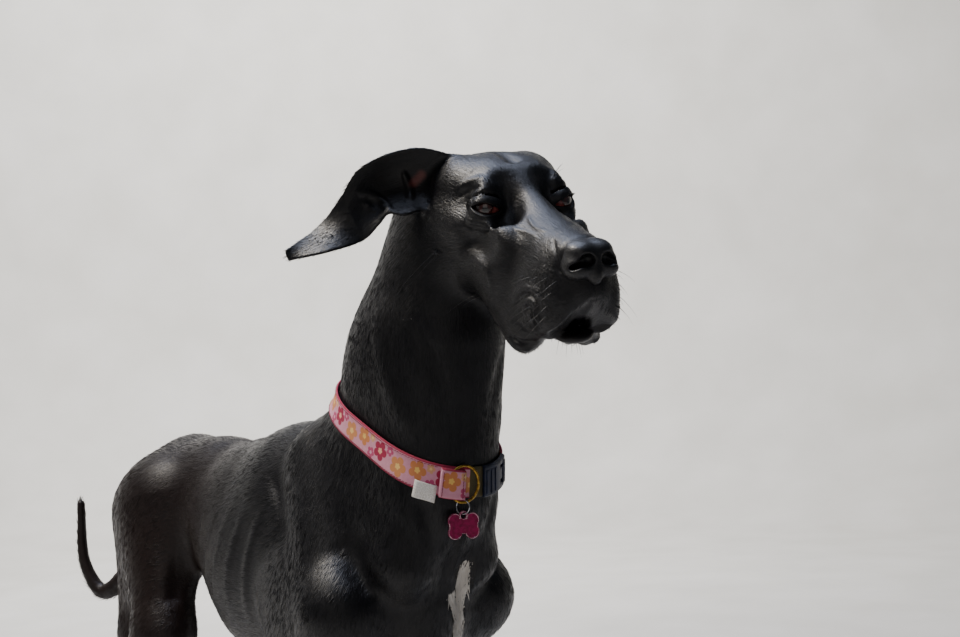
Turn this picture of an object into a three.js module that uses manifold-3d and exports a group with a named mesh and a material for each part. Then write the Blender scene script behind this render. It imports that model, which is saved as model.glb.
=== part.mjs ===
// A Great Dane bitch standing square with her head high, life size, with her collar and tag.
// Millimetres, +Z up, nose towards -Y, the dog's own left towards +X, paws on the floor at Z = 0.
// The flesh is one field of blended bones and muscles, skinned with facets and parted by thin cuts.
import * as THREE from "three";
import { mergeVertices } from "three/addons/utils/BufferGeometryUtils.js";
import Module from "manifold-3d";

const wasm = await Module();
wasm.setup();

// Driving dimensions
const GAP = 0.3;
const SIDES = { right: -1, left: 1 };
const EYE_RADIUS = 15;
const COLLAR_WIDTH = 34;
const COLLAR_THICKNESS = 3;
const COLLAR_CLEARANCE = 0.4;
const TAG_WIDTH = 38;
const EAR_THICKNESS = 4.2;

const COLOURS = {
  coat: 0x17161a,
  nose: 0x121214,
  eye: 0x3a1712,
  claw: 0x1d1b1c,
  webbing: 0xe29aa0,
  plastic: 0x1b2136,
  brass: 0xc9a15a,
  steel: 0xb9bcc2,
  tag: 0xb3135c,
  label: 0xe8e4df,
};

// A place on the dog: millimetres to her left, ahead of the middle of her back, and above the floor
const at = (left, ahead, up) => new THREE.Vector3(left, -ahead, up);

// Joints and landmarks, for the side given as -1 right or +1 left
const joints = (s) => ({
  withers: at(s * 54, 190, 728),
  shoulder: at(s * 98, 306, 548),
  elbow: at(s * 99, 203, 446),
  forearm: at(s * 96, 212, 310),
  wrist: at(s * 93, 222, 184),
  foreFetlock: at(s * 93, 244, 76),
  hip: at(s * 76, -276, 632),
  seat: at(s * 70, -352, 632),
  knee: at(s * 106, -208, 462),
  calf: at(s * 102, -318, 430),
  hock: at(s * 104, -430, 240),
  heel: at(s * 104, -457, 262),
  hindFetlock: at(s * 103, -408, 76),
});

// The head has its own frame, with its origin midway between the eyes
const HEAD_PLACE = at(13, 556, 1016);
const HEAD_TURN = { right: 13.5, down: 13.5, lean: -5.6 };
const headFrame = new THREE.Matrix4()
  .makeRotationFromEuler(
    new THREE.Euler(
      THREE.MathUtils.degToRad(HEAD_TURN.down),
      THREE.MathUtils.degToRad(HEAD_TURN.lean),
      THREE.MathUtils.degToRad(-HEAD_TURN.right),
      "ZXY",
    ),
  )
  .setPosition(HEAD_PLACE);
const inHead = (left, ahead, up) => at(left, ahead, up).applyMatrix4(headFrame);
const headTurn = new THREE.Quaternion().setFromRotationMatrix(headFrame);

// A bone or long muscle: it runs from a to b, and wide is its width over its depth
function bone(a, radiusA, b, radiusB, blend, wide = 1) {
  const axis = b.clone().sub(a);
  axis.x /= wide;
  const lengthSquared = axis.lengthSq();
  const centre = a.clone().add(b).multiplyScalar(0.5);
  const most = Math.max(radiusA, radiusB) * Math.max(1, wide);
  return {
    blend,
    centre,
    reach: a.distanceTo(b) / 2 + most,
    distance(x, y, z) {
      const px = (x - a.x) / wide;
      const py = y - a.y;
      const pz = z - a.z;
      const along = (px * axis.x + py * axis.y + pz * axis.z) / lengthSquared;
      const t = Math.min(1, Math.max(0, along));
      const dx = px - axis.x * t;
      const dy = py - axis.y * t;
      const dz = pz - axis.z * t;
      const off = Math.hypot(dx, dy, dz) + 1e-9;
      const slope = (Math.hypot(dx / wide, dy, dz) + 1e-9) / off;
      return (off - radiusA - (radiusB - radiusA) * t) / slope;
    },
  };
}

// An oval muscle or pad with its three half sizes (left, ahead, up), turned by a quaternion
function lobe(centre, [rx, ry, rz], blend, turn = new THREE.Quaternion()) {
  const back = turn.clone().invert();
  const local = new THREE.Vector3();
  return {
    blend,
    centre,
    reach: Math.max(rx, ry, rz),
    distance(x, y, z) {
      local.set(x - centre.x, y - centre.y, z - centre.z).applyQuaternion(back);
      const near = Math.hypot(local.x / rx, local.y / ry, local.z / rz) + 1e-9;
      const slope = Math.hypot(local.x / (rx * rx), local.y / (ry * ry), local.z / (rz * rz)) + 1e-9;
      return (near * (near - 1)) / slope;
    },
  };
}

const turned = (degrees, x, y, z) =>
  new THREE.Quaternion().setFromAxisAngle(new THREE.Vector3(x, y, z), THREE.MathUtils.degToRad(degrees));
const pitched = (degrees) => turned(degrees, 1, 0, 0);
const rolled = (degrees) => turned(degrees, 0, 1, 0);
const yawed = (degrees) => turned(degrees, 0, 0, 1);
const headBone = (a, ra, b, rb, blend, wide) => bone(inHead(...a), ra, inHead(...b), rb, blend, wide);
const headLobe = (c, radii, blend, tip = 0) =>
  lobe(inHead(...c), radii, blend, headTurn.clone().multiply(pitched(tip)));
const bothSides = (make) => Object.values(SIDES).flatMap(make);

// Trunk: ribs, forechest, back, belly and croup
const trunk = [
  lobe(at(0, 92, 588), [114, 236, 160], 1, pitched(5)),
  lobe(at(0, 280, 574), [92, 108, 122], 60),
  bone(at(0, 226, 728), 58, at(0, 70, 696), 62, 56, 0.85),
  bone(at(0, 70, 672), 80, at(0, -60, 660), 76, 50),
  bone(at(0, -60, 660), 76, at(0, -190, 662), 75, 40),
  bone(at(0, 0, 562), 108, at(0, -185, 626), 70, 60),
  bone(at(0, -190, 662), 76, at(0, -306, 674), 78, 44),
];

// Neck, deeper than wide, and the throat in front of it
const neck = [
  bone(at(0, 266, 690), 110, at(0, 346, 850), 93, 60, 0.77),
  bone(at(0, 346, 850), 93, at(14, 414, 990), 91, 40, 0.8),
  bone(at(4, 374, 690), 74, at(8, 412, 870), 58, 40, 1.05),
];

const foreLegs = bothSides((s) => {
  const j = joints(s);
  return [
    bone(j.withers, 34, j.shoulder, 46, 50),
    bone(at(s * 29, 386, 650), 38, at(s * 42, 371, 610), 44, 22),
    bone(j.shoulder, 50, j.elbow, 43, 34, 0.9),
    lobe(at(s * 96, 208, 526), [37, 80, 90], 34),
    bone(j.elbow, 41, j.forearm, 29, 24, 0.92),
    bone(at(s * 97, 166, 462), 15, j.elbow, 26, 16),
    bone(j.forearm, 29, j.wrist, 22, 16),
    lobe(at(s * 93, 224, 180), [26, 27, 30], 14),
    bone(at(s * 92, 200, 174), 10, j.wrist, 14, 10),
    bone(j.wrist, 21, j.foreFetlock, 22, 14, 1.1),
  ];
});

const hindLegs = bothSides((s) => {
  const j = joints(s);
  return [
    bone(j.hip, 90, j.knee, 54, 46, 0.74),
    bone(j.seat, 58, at(s * 98, -318, 476), 40, 40, 0.78),
    lobe(at(s * 107, -202, 455), [36, 42, 46], 30),
    bone(j.knee, 46, at(s * 104, -410, 272), 25, 30, 0.82),
    bone(j.calf, 38, at(s * 103, -404, 320), 17, 26, 0.8),
    bone(at(s * 103, -392, 350), 14, j.heel, 11, 16),
    lobe(j.hock, [21, 30, 34], 14),
    bone(j.heel, 12, at(s * 104, -446, 214), 14, 10),
    bone(j.hock, 22, j.hindFetlock, 20, 14, 1.05),
  ];
});

// A paw: a broad palm on its heel pad, and four arched toes whose middle two reach further
const TOES = [-1.5, -0.5, 0.5, 1.5];
const PAWS = {
  fore: { ahead: 262, aside: 93, spread: 20, length: 49, toe: 16, palm: [37, 40, 34] },
  hind: { ahead: -388, aside: 103, spread: 18.5, length: 46, toe: 15, palm: [33, 38, 31] },
};
function toeLine(paw, s, place) {
  const reach = paw.length + (Math.abs(place) < 1 ? 12 : 0);
  const aside = s * paw.aside + place * paw.spread;
  return {
    root: at(aside - place * 5, paw.ahead - 2, 42),
    knuckle: at(aside, paw.ahead + reach * 0.56, 40),
    tip: at(aside + place * 1.5, paw.ahead + reach, 17),
    pad: at(aside, paw.ahead + reach * 0.72, 11),
  };
}
const paws = bothSides((s) =>
  Object.values(PAWS).flatMap((paw) => [
    lobe(at(s * paw.aside, paw.ahead - 6, 40), paw.palm, 18),
    lobe(at(s * paw.aside, paw.ahead - 10, 12), [paw.palm[0] * 0.78, 28, 17], 8),
    ...TOES.flatMap((place) => {
      const toe = toeLine(paw, s, place);
      return [
        bone(toe.root, paw.toe, toe.knuckle, paw.toe, 7),
        bone(toe.knuckle, paw.toe, toe.tip, paw.toe - 3, 5),
        lobe(toe.pad, [12, 21, 15], 5),
      ];
    }),
  ]),
);

// The tail hangs from the croup, swings a little to her right and lifts at its end
const TAIL_LINE = new THREE.CatmullRomCurve3([
  at(0, -340, 694),
  at(-3, -404, 666),
  at(-14, -464, 590),
  at(-36, -518, 514),
  at(-62, -562, 484),
  at(-82, -588, 530),
  at(-86, -592, 632),
]);
const TAIL_RADIUS = { root: 32, tip: 8 };
const TAIL_LINKS = 12;
const tail = Array.from({ length: TAIL_LINKS }, (_, i) => {
  const radiusAt = (t) => THREE.MathUtils.lerp(TAIL_RADIUS.root, TAIL_RADIUS.tip, Math.pow(t, 0.7));
  const from = i / TAIL_LINKS;
  const to = (i + 1) / TAIL_LINKS;
  return bone(TAIL_LINE.getPoint(from), radiusAt(from), TAIL_LINE.getPoint(to), radiusAt(to), i ? 6 : 30);
});

// Skull, muzzle and flews, in the head's own frame
const EYE = { aside: 43, ahead: 0, up: 1, outward: 30 };
const head = [
  headLobe([0, -74, 5], [60, 88, 50], 30),
  ...bothSides((s) => [
    headLobe([s * 23, -42, 22], [28, 50, 27], 18),
    headLobe([s * 36, -6, 20], [17, 22, 14], 12),
    headLobe([s * 41, -3, 1], [19, 18, 19], 16),
    headLobe([s * 45, -88, 12], [27, 62, 38], 20),
    headBone([s * 54, -8, -22], 14, [s * 65, -74, -18], 15, 22),
    headLobe([s * 49, -62, -48], [26, 54, 50], 24),
    headLobe([s * 41, 30, -30], [20, 40, 24], 22),
    headLobe([s * 40, 14, -66], [25, 62, 44], 26),
  ]),
  headBone([0, -16, 14], 25, [0, 84, -27], 20, 18, 0.84),
  headBone([0, 10, -30], 30, [0, 148, -35], 24, 22, 1.25),
  headLobe([0, 84, -58], [40, 92, 42], 24),
  headLobe([0, 148, -70], [27, 34, 27], 16),
  ...bothSides((s) => [
    headLobe([s * 27, 124, -80], [20, 48, 38], 16),
    headLobe([s * 32, 84, -100], [18, 46, 40], 18),
    headLobe([s * 36, 74, -128], [16, 27, 23], 12),
    headLobe([s * 27, 134, -103], [15, 28, 21], 14),
    headLobe([s * 32, 46, -112], [20, 52, 28], 22),
  ]),
  headBone([0, -60, -84], 38, [0, 40, -104], 26, 26),
];

// The bare nose pad with its two wings
const nose = [
  headLobe([1, 160, -36], [26, 26, 21], 1),
  headLobe([1, 177, -49], [9, 12, 13], 5),
  ...bothSides((s) => headLobe([1 + s * 11, 165, -26], [14, 19, 10], 6)),
  ...bothSides((s) => headLobe([1 + s * 17, 168, -43], [13.5, 20, 14], 8)),
];

// Hollows: before and within each eye, the furrow of the brow, the cheek, and the open lips
const hollows = [
  ...bothSides((s) => [
    headBone([s * 30, 12, 34], 8, [s * 34, 34, -12], 10, 19),
    headLobe([s * 68, 28, -34], [12, 34, 13], 18),
    headBone([s * 3.5, 184, -82], 6.5, [s * 20, 158, -128], 25, 4),
  ]),
  headBone([0, -84, 62], 2, [0, -24, 50], 2, 10),
  headBone([0, 158, -152], 22, [0, 70, -158], 20, 12),
];

// What fills the hollows again: the lower jaw between the flews
const fillings = [
  headBone([0, 20, -108], 24, [0, 100, -120], 15, 8, 1.2),
  headLobe([0, 127, -124], [22, 21, 10], 6),
];

const smoothMin = (a, b, k) => {
  const h = Math.max(k - Math.abs(a - b), 0) / k;
  return Math.min(a, b) - h * h * k * 0.25;
};

const gapTo = (form, x, y, z) =>
  Math.hypot(x - form.centre.x, y - form.centre.y, z - form.centre.z) - form.reach;

function joinAll(nearest, forms, x, y, z) {
  return forms.reduce(
    (least, form) =>
      gapTo(form, x, y, z) < least + form.blend
        ? smoothMin(least, form.distance(x, y, z), form.blend)
        : least,
    nearest,
  );
}

// A signed distance, negative inside, from forms that are blended, then hollowed, then filled again
function fieldOf(forms, carved = [], filled = []) {
  return (x, y, z) => {
    let nearest = joinAll(1e6, forms, x, y, z);
    for (const form of carved) {
      if (gapTo(form, x, y, z) < form.blend * 2) {
        nearest = -smoothMin(-nearest, form.distance(x, y, z), form.blend);
      }
    }
    return joinAll(nearest, filled, x, y, z);
  };
}
const rootOfTail = tail.slice(0, 2);
const flesh = [...trunk, ...neck, ...foreLegs, ...hindLegs, ...paws, ...rootOfTail, ...head];
const coat = fieldOf(flesh, hollows, fillings);
const noseSkin = fieldOf(nose);
const tailSkin = (from, to) => fieldOf(tail.slice(from, to));

function slopeOf(field, p, target = new THREE.Vector3()) {
  const h = 0.4;
  return target.set(
    field(p.x + h, p.y, p.z) - field(p.x - h, p.y, p.z),
    field(p.x, p.y + h, p.z) - field(p.x, p.y - h, p.z),
    field(p.x, p.y, p.z + h) - field(p.x, p.y, p.z - h),
  ).divideScalar(2 * h);
}

// Moves a point onto the field's zero surface, by no more than the given distance
function settle(field, p, limit) {
  const start = p.clone();
  const slope = new THREE.Vector3();
  for (let step = 0; step < 4; step += 1) {
    slopeOf(field, p, slope);
    const steepness = Math.max(slope.lengthSq(), 0.05);
    p.addScaledVector(slope, -field(p.x, p.y, p.z) / steepness);
  }
  const moved = p.distanceTo(start);
  if (moved > limit) {
    p.lerp(start, 1 - limit / moved);
  }
  return p;
}

// The twelve edges of a cell as corner pairs; a corner's bits 1, 2 and 4 are its x, y and z sides
const CELL_EDGES = [0, 1, 2].flatMap((axis) =>
  [0, 1, 2, 3, 4, 5, 6, 7]
    .filter((corner) => !(corner & (1 << axis)))
    .map((corner) => ({ axis, from: corner, to: corner | (1 << axis) })),
);
const edgeIndex = (axis, from) => CELL_EDGES.findIndex((e) => e.axis === axis && e.from === from);
const FACE_EDGES = [0, 1, 2].flatMap((axis) =>
  [0, 1].map((end) =>
    CELL_EDGES.map((e, i) => i).filter((i) => {
      const e = CELL_EDGES[i];
      return e.axis !== axis && ((e.from >> axis) & 1) === end;
    }),
  ),
);
const FACES_OF_EDGE = CELL_EDGES.map((e, i) =>
  FACE_EDGES.map((face, f) => f).filter((f) => FACE_EDGES[f].includes(i)),
);

// The crossing edges of a cell, gathered into the closed loops that the surface makes in it. Where a
// face has four crossings its inside corners are kept apart, or are joined if the face is in joined.
function loopsIn(mask, joined = []) {
  const inside = (corner) => ((mask >> corner) & 1) === 1;
  const crossing = CELL_EDGES.map((e) => inside(e.from) !== inside(e.to));
  const partner = (edge, face) => {
    const others = FACE_EDGES[face].filter((i) => i !== edge && crossing[i]);
    if (others.length === 1) {
      return others[0];
    }
    const { from, to } = CELL_EDGES[edge];
    const corner = inside(from) !== joined.includes(face) ? from : to;
    return others.find((i) => CELL_EDGES[i].from === corner || CELL_EDGES[i].to === corner);
  };
  const seen = new Set();
  const loops = [];
  CELL_EDGES.forEach((_, start) => {
    if (!crossing[start] || seen.has(start)) {
      return;
    }
    const loop = [];
    let edge = start;
    let face = FACES_OF_EDGE[start][0];
    do {
      loop.push(edge);
      seen.add(edge);
      edge = partner(edge, face);
      face = FACES_OF_EDGE[edge].find((f) => f !== face);
    } while (edge !== start);
    loops.push(loop);
  });
  return loops;
}
const LOOPS = Array.from({ length: 256 }, (_, mask) => loopsIn(mask));
const tangled = (mask, face) => LOOPS[mask].some((loop) => FACE_EDGES[face].every((e) => loop.includes(e)));
const TANGLED_FACES = LOOPS.map((_, mask) =>
  FACE_EDGES.map((_, face) => face).filter((face) => tangled(mask, face)),
);

// Skins the field inside a box with cells of the given sizes, and closes it where the box cuts it
function skin(field, low, high, cell) {
  const count = ["x", "y", "z"].map((k) => Math.ceil((high[k] - low[k]) / cell[k]) + 1);
  const [nx, ny, nz] = count;
  const step = [1, nx, nx * ny];
  const place = (i, j, k) => new THREE.Vector3(low.x + i * cell.x, low.y + j * cell.y, low.z + k * cell.z);
  const value = new Float32Array(nx * ny * nz);
  for (let k = 0; k < nz; k += 1) {
    for (let j = 0; j < ny; j += 1) {
      for (let i = 0; i < nx; i += 1) {
        const rim = i === 0 || j === 0 || k === 0 || i === nx - 1 || j === ny - 1 || k === nz - 1;
        const p = place(i, j, k);
        const depth = field(p.x, p.y, p.z);
        value[i + j * step[1] + k * step[2]] = rim ? Math.max(depth, 0.01) : depth;
      }
    }
  }
  const corner = [0, 1, 2, 3, 4, 5, 6, 7].map(
    (c) => (c & 1) * step[0] + ((c >> 1) & 1) * step[1] + ((c >> 2) & 1) * step[2],
  );
  const maskOf = (here) =>
    corner.reduce((mask, offset, c) => mask | ((value[here + offset] < 0 ? 1 : 0) << c), 0);
  const points = [];
  const pointAt = new Map();
  const limit = Math.min(cell.x, cell.y, cell.z) * 0.9;
  for (let k = 0; k < nz - 1; k += 1) {
    for (let j = 0; j < ny - 1; j += 1) {
      for (let i = 0; i < nx - 1; i += 1) {
        const here = i + j * step[1] + k * step[2];
        const mask = maskOf(here);
        const joined = TANGLED_FACES[mask].filter((face) => {
          const next = here + (face % 2 ? 1 : -1) * step[face >> 1];
          return TANGLED_FACES[maskOf(next)].includes(face ^ 1);
        });
        for (const loop of joined.length ? loopsIn(mask, joined) : LOOPS[mask]) {
          const middle = new THREE.Vector3();
          for (const e of loop) {
            const { axis, from, to } = CELL_EDGES[e];
            const a = value[here + corner[from]];
            const b = value[here + corner[to]];
            const p = place(i + (from & 1), j + ((from >> 1) & 1), k + ((from >> 2) & 1));
            p.setComponent(axis, p.getComponent(axis) + (cell.getComponent(axis) * a) / (a - b));
            middle.add(p);
            pointAt.set(here * 12 + e, points.length);
          }
          middle.divideScalar(loop.length);
          const rim = i === 0 || j === 0 || k === 0 || i === nx - 2 || j === ny - 2 || k === nz - 2;
          points.push(rim ? middle : settle(field, middle, limit));
        }
      }
    }
  }
  const faces = [];
  for (let k = 0; k < nz - 1; k += 1) {
    for (let j = 0; j < ny - 1; j += 1) {
      for (let i = 0; i < nx - 1; i += 1) {
        const here = i + j * step[1] + k * step[2];
        for (let axis = 0; axis < 3; axis += 1) {
          const a = value[here] < 0;
          const b = value[here + step[axis]] < 0;
          if (a === b) {
            continue;
          }
          const u = (axis + 1) % 3;
          const v = (axis + 2) % 3;
          const ring = [[0, 0], [1, 0], [1, 1], [0, 1]].map(([du, dv]) =>
            pointAt.get((here - du * step[u] - dv * step[v]) * 12 + edgeIndex(axis, (du << u) | (dv << v))),
          );
          const quad = a ? ring : ring.reverse();
          const [p, q, r, s] = quad.map((n) => points[n]);
          if (p.distanceToSquared(r) < q.distanceToSquared(s)) {
            faces.push(quad[0], quad[1], quad[2], quad[0], quad[2], quad[3]);
          } else {
            faces.push(quad[1], quad[2], quad[3], quad[1], quad[3], quad[0]);
          }
        }
      }
    }
  }
  return shape(points, faces);
}

// A geometry from points and triangle corners
function shape(points, faces) {
  const geometry = new THREE.BufferGeometry();
  const numbers = points.flatMap((p) => p.toArray());
  geometry.setAttribute("position", new THREE.Float32BufferAttribute(numbers, 3));
  geometry.setIndex(faces);
  return geometry;
}

// A geometry with nothing but its places
function bareOf(geometry) {
  const bare = geometry.clone();
  bare.deleteAttribute("normal");
  bare.deleteAttribute("uv");
  return bare;
}

// Solids for joining and cutting, and back
function solidOf(geometry) {
  const bare = geometry.attributes.uv ? mergeVertices(bareOf(geometry), 1e-4) : geometry;
  return new wasm.Manifold(
    new wasm.Mesh({
      numProp: 3,
      vertProperties: new Float32Array(bare.attributes.position.array),
      triVerts: new Uint32Array(bare.index.array),
    }),
  );
}

function geometryOf(solid) {
  const whole = solid.decompose().sort((a, b) => b.volume() - a.volume())[0];
  const mesh = whole.getMesh();
  const geometry = new THREE.BufferGeometry();
  geometry.setAttribute("position", new THREE.BufferAttribute(new Float32Array(mesh.vertProperties), 3));
  geometry.setIndex(new THREE.BufferAttribute(new Uint32Array(mesh.triVerts), 1));
  return geometry;
}

// The same solid with its faces pushed out, to cut room for it
function grown(geometry, by) {
  const copy = geometry.clone();
  copy.computeVertexNormals();
  const { position, normal } = copy.attributes;
  for (let i = 0; i < position.count; i += 1) {
    position.setXYZ(
      i,
      position.getX(i) + normal.getX(i) * by,
      position.getY(i) + normal.getY(i) * by,
      position.getZ(i) + normal.getZ(i) * by,
    );
  }
  return solidOf(bareOf(copy));
}

// Half of space: all that lies past a point along a direction, less half the parting gap
const FAR = 1500;
function past(point, direction, gap = GAP / 2) {
  const out = direction.clone().normalize();
  const box = new THREE.BoxGeometry(2 * FAR, 2 * FAR, 2 * FAR);
  const turn = new THREE.Quaternion().setFromUnitVectors(new THREE.Vector3(0, 0, 1), out);
  const centre = point.clone().addScaledVector(out, FAR + gap);
  box.applyMatrix4(new THREE.Matrix4().compose(centre, turn, new THREE.Vector3(1, 1, 1)));
  return solidOf(box);
}
const boxOf = (a, b) => new THREE.Box3().setFromPoints([a, b]);

// The coat within a box, in facets of the given cell sizes, kept on the far side of every cut
function fleshIn(from, to, cell, cuts, field = coat) {
  const box = boxOf(from, to);
  const skinned = solidOf(skin(field, box.min, box.max, new THREE.Vector3(...cell)));
  return cuts.reduce((solid, cut) => solid.intersect(cut), skinned);
}

function cornersAround(centre, reach) {
  const box = new THREE.Box3().setFromPoints([centre]).expandByScalar(reach);
  return [box.min, box.max];
}

// A closed rod along a curve, with rings of the given radius at each step
function rod(curve, radiusAt, steps, sides) {
  const frames = curve.computeFrenetFrames(steps, false);
  const points = [];
  const faces = [];
  for (let i = 0; i <= steps; i += 1) {
    const centre = curve.getPoint(i / steps);
    for (let k = 0; k < sides; k += 1) {
      const angle = (2 * Math.PI * k) / sides;
      points.push(
        centre
          .clone()
          .addScaledVector(frames.normals[i], Math.cos(angle) * radiusAt(i / steps))
          .addScaledVector(frames.binormals[i], Math.sin(angle) * radiusAt(i / steps)),
      );
    }
  }
  const ends = [points.length, points.length + 1];
  points.push(curve.getPoint(0), curve.getPoint(1));
  for (let k = 0; k < sides; k += 1) {
    const next = (k + 1) % sides;
    for (let i = 0; i < steps; i += 1) {
      const a = i * sides + k;
      const b = i * sides + next;
      faces.push(a, b, b + sides, a, b + sides, a + sides);
    }
    faces.push(ends[0], next, k, ends[1], steps * sides + k, steps * sides + next);
  }
  return shape(points, faces);
}

// A closed curved leaf, such as an ear, between two edge curves. It dips by cup along behind, and its
// thickness falls away towards its edges and tip.
function leaf(edgeA, edgeB, cupAt, behind, thickness, steps, across) {
  const middle = [];
  const place = (i, j) => i * (across + 1) + j;
  for (let i = 0; i <= steps; i += 1) {
    const a = edgeA.getPoint(i / steps);
    const b = edgeB.getPoint(i / steps);
    for (let j = 0; j <= across; j += 1) {
      const v = j / across;
      middle.push(a.clone().lerp(b, v).addScaledVector(behind, cupAt(i / steps, v)));
    }
  }
  const points = [];
  for (const face of [1, -1]) {
    for (let i = 0; i <= steps; i += 1) {
      for (let j = 0; j <= across; j += 1) {
        const [before, after] = [Math.max(i - 1, 0), Math.min(i + 1, steps)];
        const [left, right] = [Math.max(j - 1, 0), Math.min(j + 1, across)];
        const along = middle[place(after, j)].clone().sub(middle[place(before, j)]);
        const side = middle[place(i, right)].clone().sub(middle[place(i, left)]);
        const out = along.cross(side).normalize();
        const atEdge = j === 0 || j === across || i === steps;
        const half = (thickness / 2) * (atEdge ? 0.4 : 1);
        points.push(middle[place(i, j)].clone().addScaledVector(out, face * half));
      }
    }
  }
  const other = (steps + 1) * (across + 1);
  const faces = [];
  const wall = (p, q) => faces.push(p, q, q + other, p, q + other, p + other);
  for (let i = 0; i < steps; i += 1) {
    for (let j = 0; j < across; j += 1) {
      const [p, q, r, t] = [place(i, j), place(i + 1, j), place(i + 1, j + 1), place(i, j + 1)];
      faces.push(p, q, r, p, r, t);
      faces.push(p + other, r + other, q + other, p + other, t + other, r + other);
    }
    wall(place(i + 1, 0), place(i, 0));
    wall(place(i, across), place(i + 1, across));
  }
  for (let j = 0; j < across; j += 1) {
    wall(place(0, j), place(0, j + 1));
    wall(place(steps, j + 1), place(steps, j));
  }
  return shape(points, faces);
}

const model = new THREE.Group();
const finish = (color, roughness, metalness) =>
  new THREE.MeshStandardMaterial({ color, roughness, metalness });
const FINISHES = {
  coat: finish(COLOURS.coat, 0.45, 0),
  nose: finish(COLOURS.nose, 0.3, 0),
  eye: finish(COLOURS.eye, 0.1, 0),
  claw: finish(COLOURS.claw, 0.4, 0),
  webbing: finish(COLOURS.webbing, 0.8, 0),
  plastic: finish(COLOURS.plastic, 0.4, 0),
  brass: finish(COLOURS.brass, 0.3, 1),
  steel: finish(COLOURS.steel, 0.2, 1),
  tag: finish(COLOURS.tag, 0.35, 0.6),
  label: finish(COLOURS.label, 0.8, 0),
};
function addNode(name, solid, material) {
  const mesh = new THREE.Mesh(geometryOf(solid), material);
  mesh.name = name;
  model.add(mesh);
  return mesh.geometry;
}

const UP = new THREE.Vector3(0, 0, 1);
const DOWN = UP.clone().negate();
const LEFT = new THREE.Vector3(1, 0, 0);

// The collar's plane, which also parts the neck from the trunk
const COLLAR_BACK = at(0, 216, 822);
const COLLAR_FRONT = at(4, 446, 706);
const collarMiddle = COLLAR_BACK.clone().add(COLLAR_FRONT).multiplyScalar(0.5);
const collarAhead = COLLAR_FRONT.clone().sub(COLLAR_BACK).normalize();
const collarUp = collarAhead.clone().cross(LEFT).normalize();

// Where the body is parted. A cut is a list of points and directions; its region lies past them all.
const towards = (...direction) => inHead(...direction).sub(inHead(0, 0, 0));
const headRegion = [[inHead(0, -112, -40), towards(0, 1, 0.5)], [inHead(0, -78, -98), towards(0, 0.3, 1)]];
const foreRegion = (s) => [[at(s * 20, 0, 0), LEFT.clone().multiplyScalar(s)], [at(0, 0, 422), DOWN]];
const hindRegion = (s) => [
  [at(s * 14, 0, 0), LEFT.clone().multiplyScalar(s)],
  [at(0, -176, 556), new THREE.Vector3(0, 0.31, -0.95)],
  [at(0, -140, 0), new THREE.Vector3(0, 1, 0)],
];
const wristCut = [at(0, 0, 176), DOWN];
const fetlockCut = [at(0, 0, 92), DOWN];
const kneeCut = [at(0, -290, 420), new THREE.Vector3(0, 0.62, -0.78)];
const hockCut = [at(0, 0, 232), DOWN];
const TAIL_CUTS = [0.17, 0.44, 0.7];
const tailCut = (t) => [TAIL_LINE.getPoint(t), TAIL_LINE.getTangent(t)];
const tailRegion = [
  tailCut(TAIL_CUTS[0]),
  [at(-38, 0, 0), LEFT],
  [at(34, 0, 0), LEFT.clone().negate()],
  [at(0, 0, 626), UP],
];
const flip = ([point, direction]) => [point, direction.clone().negate()];
const inside = (planes, gap) => planes.map((plane) => past(...plane, gap)).reduce((a, b) => a.intersect(b));

const CLAW = { base: 6, point: 1.6 };
for (const [side, s] of Object.entries(SIDES)) {
  const around = (ahead0, ahead1, up0, up1) => [at(s * 2, ahead0, up0), at(s * 182, ahead1, up1)];
  const piece = (name, box, cell, planes) =>
    addNode(`${name}_${side}`, fleshIn(...around(...box), cell, [inside(planes)]), FINISHES.coat);
  piece("foreleg_upper", [120, 320, 140, 490], [15, 15, 34], [...foreRegion(s), flip(wristCut)]);
  piece("foreleg_lower", [170, 300, 60, 210], [13, 13, 28], [wristCut, flip(fetlockCut), foreRegion(s)[0]]);
  piece("thigh", [-470, -120, 340, 720], [27, 29, 29], [...hindRegion(s), flip(kneeCut)]);
  piece("gaskin", [-500, -150, 200, 500], [19, 24, 24], [kneeCut, flip(hockCut), hindRegion(s)[0]]);
  const shank = [hockCut, flip(fetlockCut), hindRegion(s)[0]];
  piece("hindleg_lower", [-500, -360, 60, 250], [13, 13, 28], shank);
  for (const [end, paw] of Object.entries(PAWS)) {
    const box = [paw.ahead - 74, paw.ahead + 96, -11, 110];
    const foot = [fetlockCut, flip([at(0, 0, -GAP / 2), DOWN])];
    const room = grown(piece(`${end}paw`, box, [13.5, 13.5, 13.5], foot), GAP);
    TOES.forEach((place, i) => {
      const { tip } = toeLine(paw, s, place);
      const bend = [at(0, -4, 4), at(0, 14, 5), at(0, 23, -10)].map((step) => tip.clone().add(step));
      const curve = new THREE.QuadraticBezierCurve3(...bend);
      const claw = rod(curve, (t) => THREE.MathUtils.lerp(CLAW.base, CLAW.point, t), 3, 5);
      addNode(`${end}claw_${side}_${i + 1}`, solidOf(claw).subtract(room), FINISHES.claw);
    });
  }
}

// Tail in three lengths, each cut square to its line
["tail_base", "tail_middle", "tail_end"].forEach((name, i) => {
  const next = TAIL_CUTS[i + 1];
  const first = Math.floor(TAIL_CUTS[i] * TAIL_LINKS) - 1;
  const last = next ? Math.ceil(next * TAIL_LINKS) + 1 : TAIL_LINKS;
  const links = [first, last];
  const count = last - first + 1;
  const ends = Array.from({ length: count }, (_, k) => TAIL_LINE.getPoint((first + k) / TAIL_LINKS));
  const box = new THREE.Box3().setFromPoints(ends).expandByScalar(TAIL_RADIUS.root + 10);
  const cuts = next ? [tailCut(TAIL_CUTS[i]), flip(tailCut(next))] : [tailCut(TAIL_CUTS[i])];
  const facet = [22, 16, 13][i];
  const solid = fleshIn(box.min, box.max, [facet, facet, facet], [inside(cuts)], tailSkin(...links));
  addNode(name, solid, FINISHES.coat);
});

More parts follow.
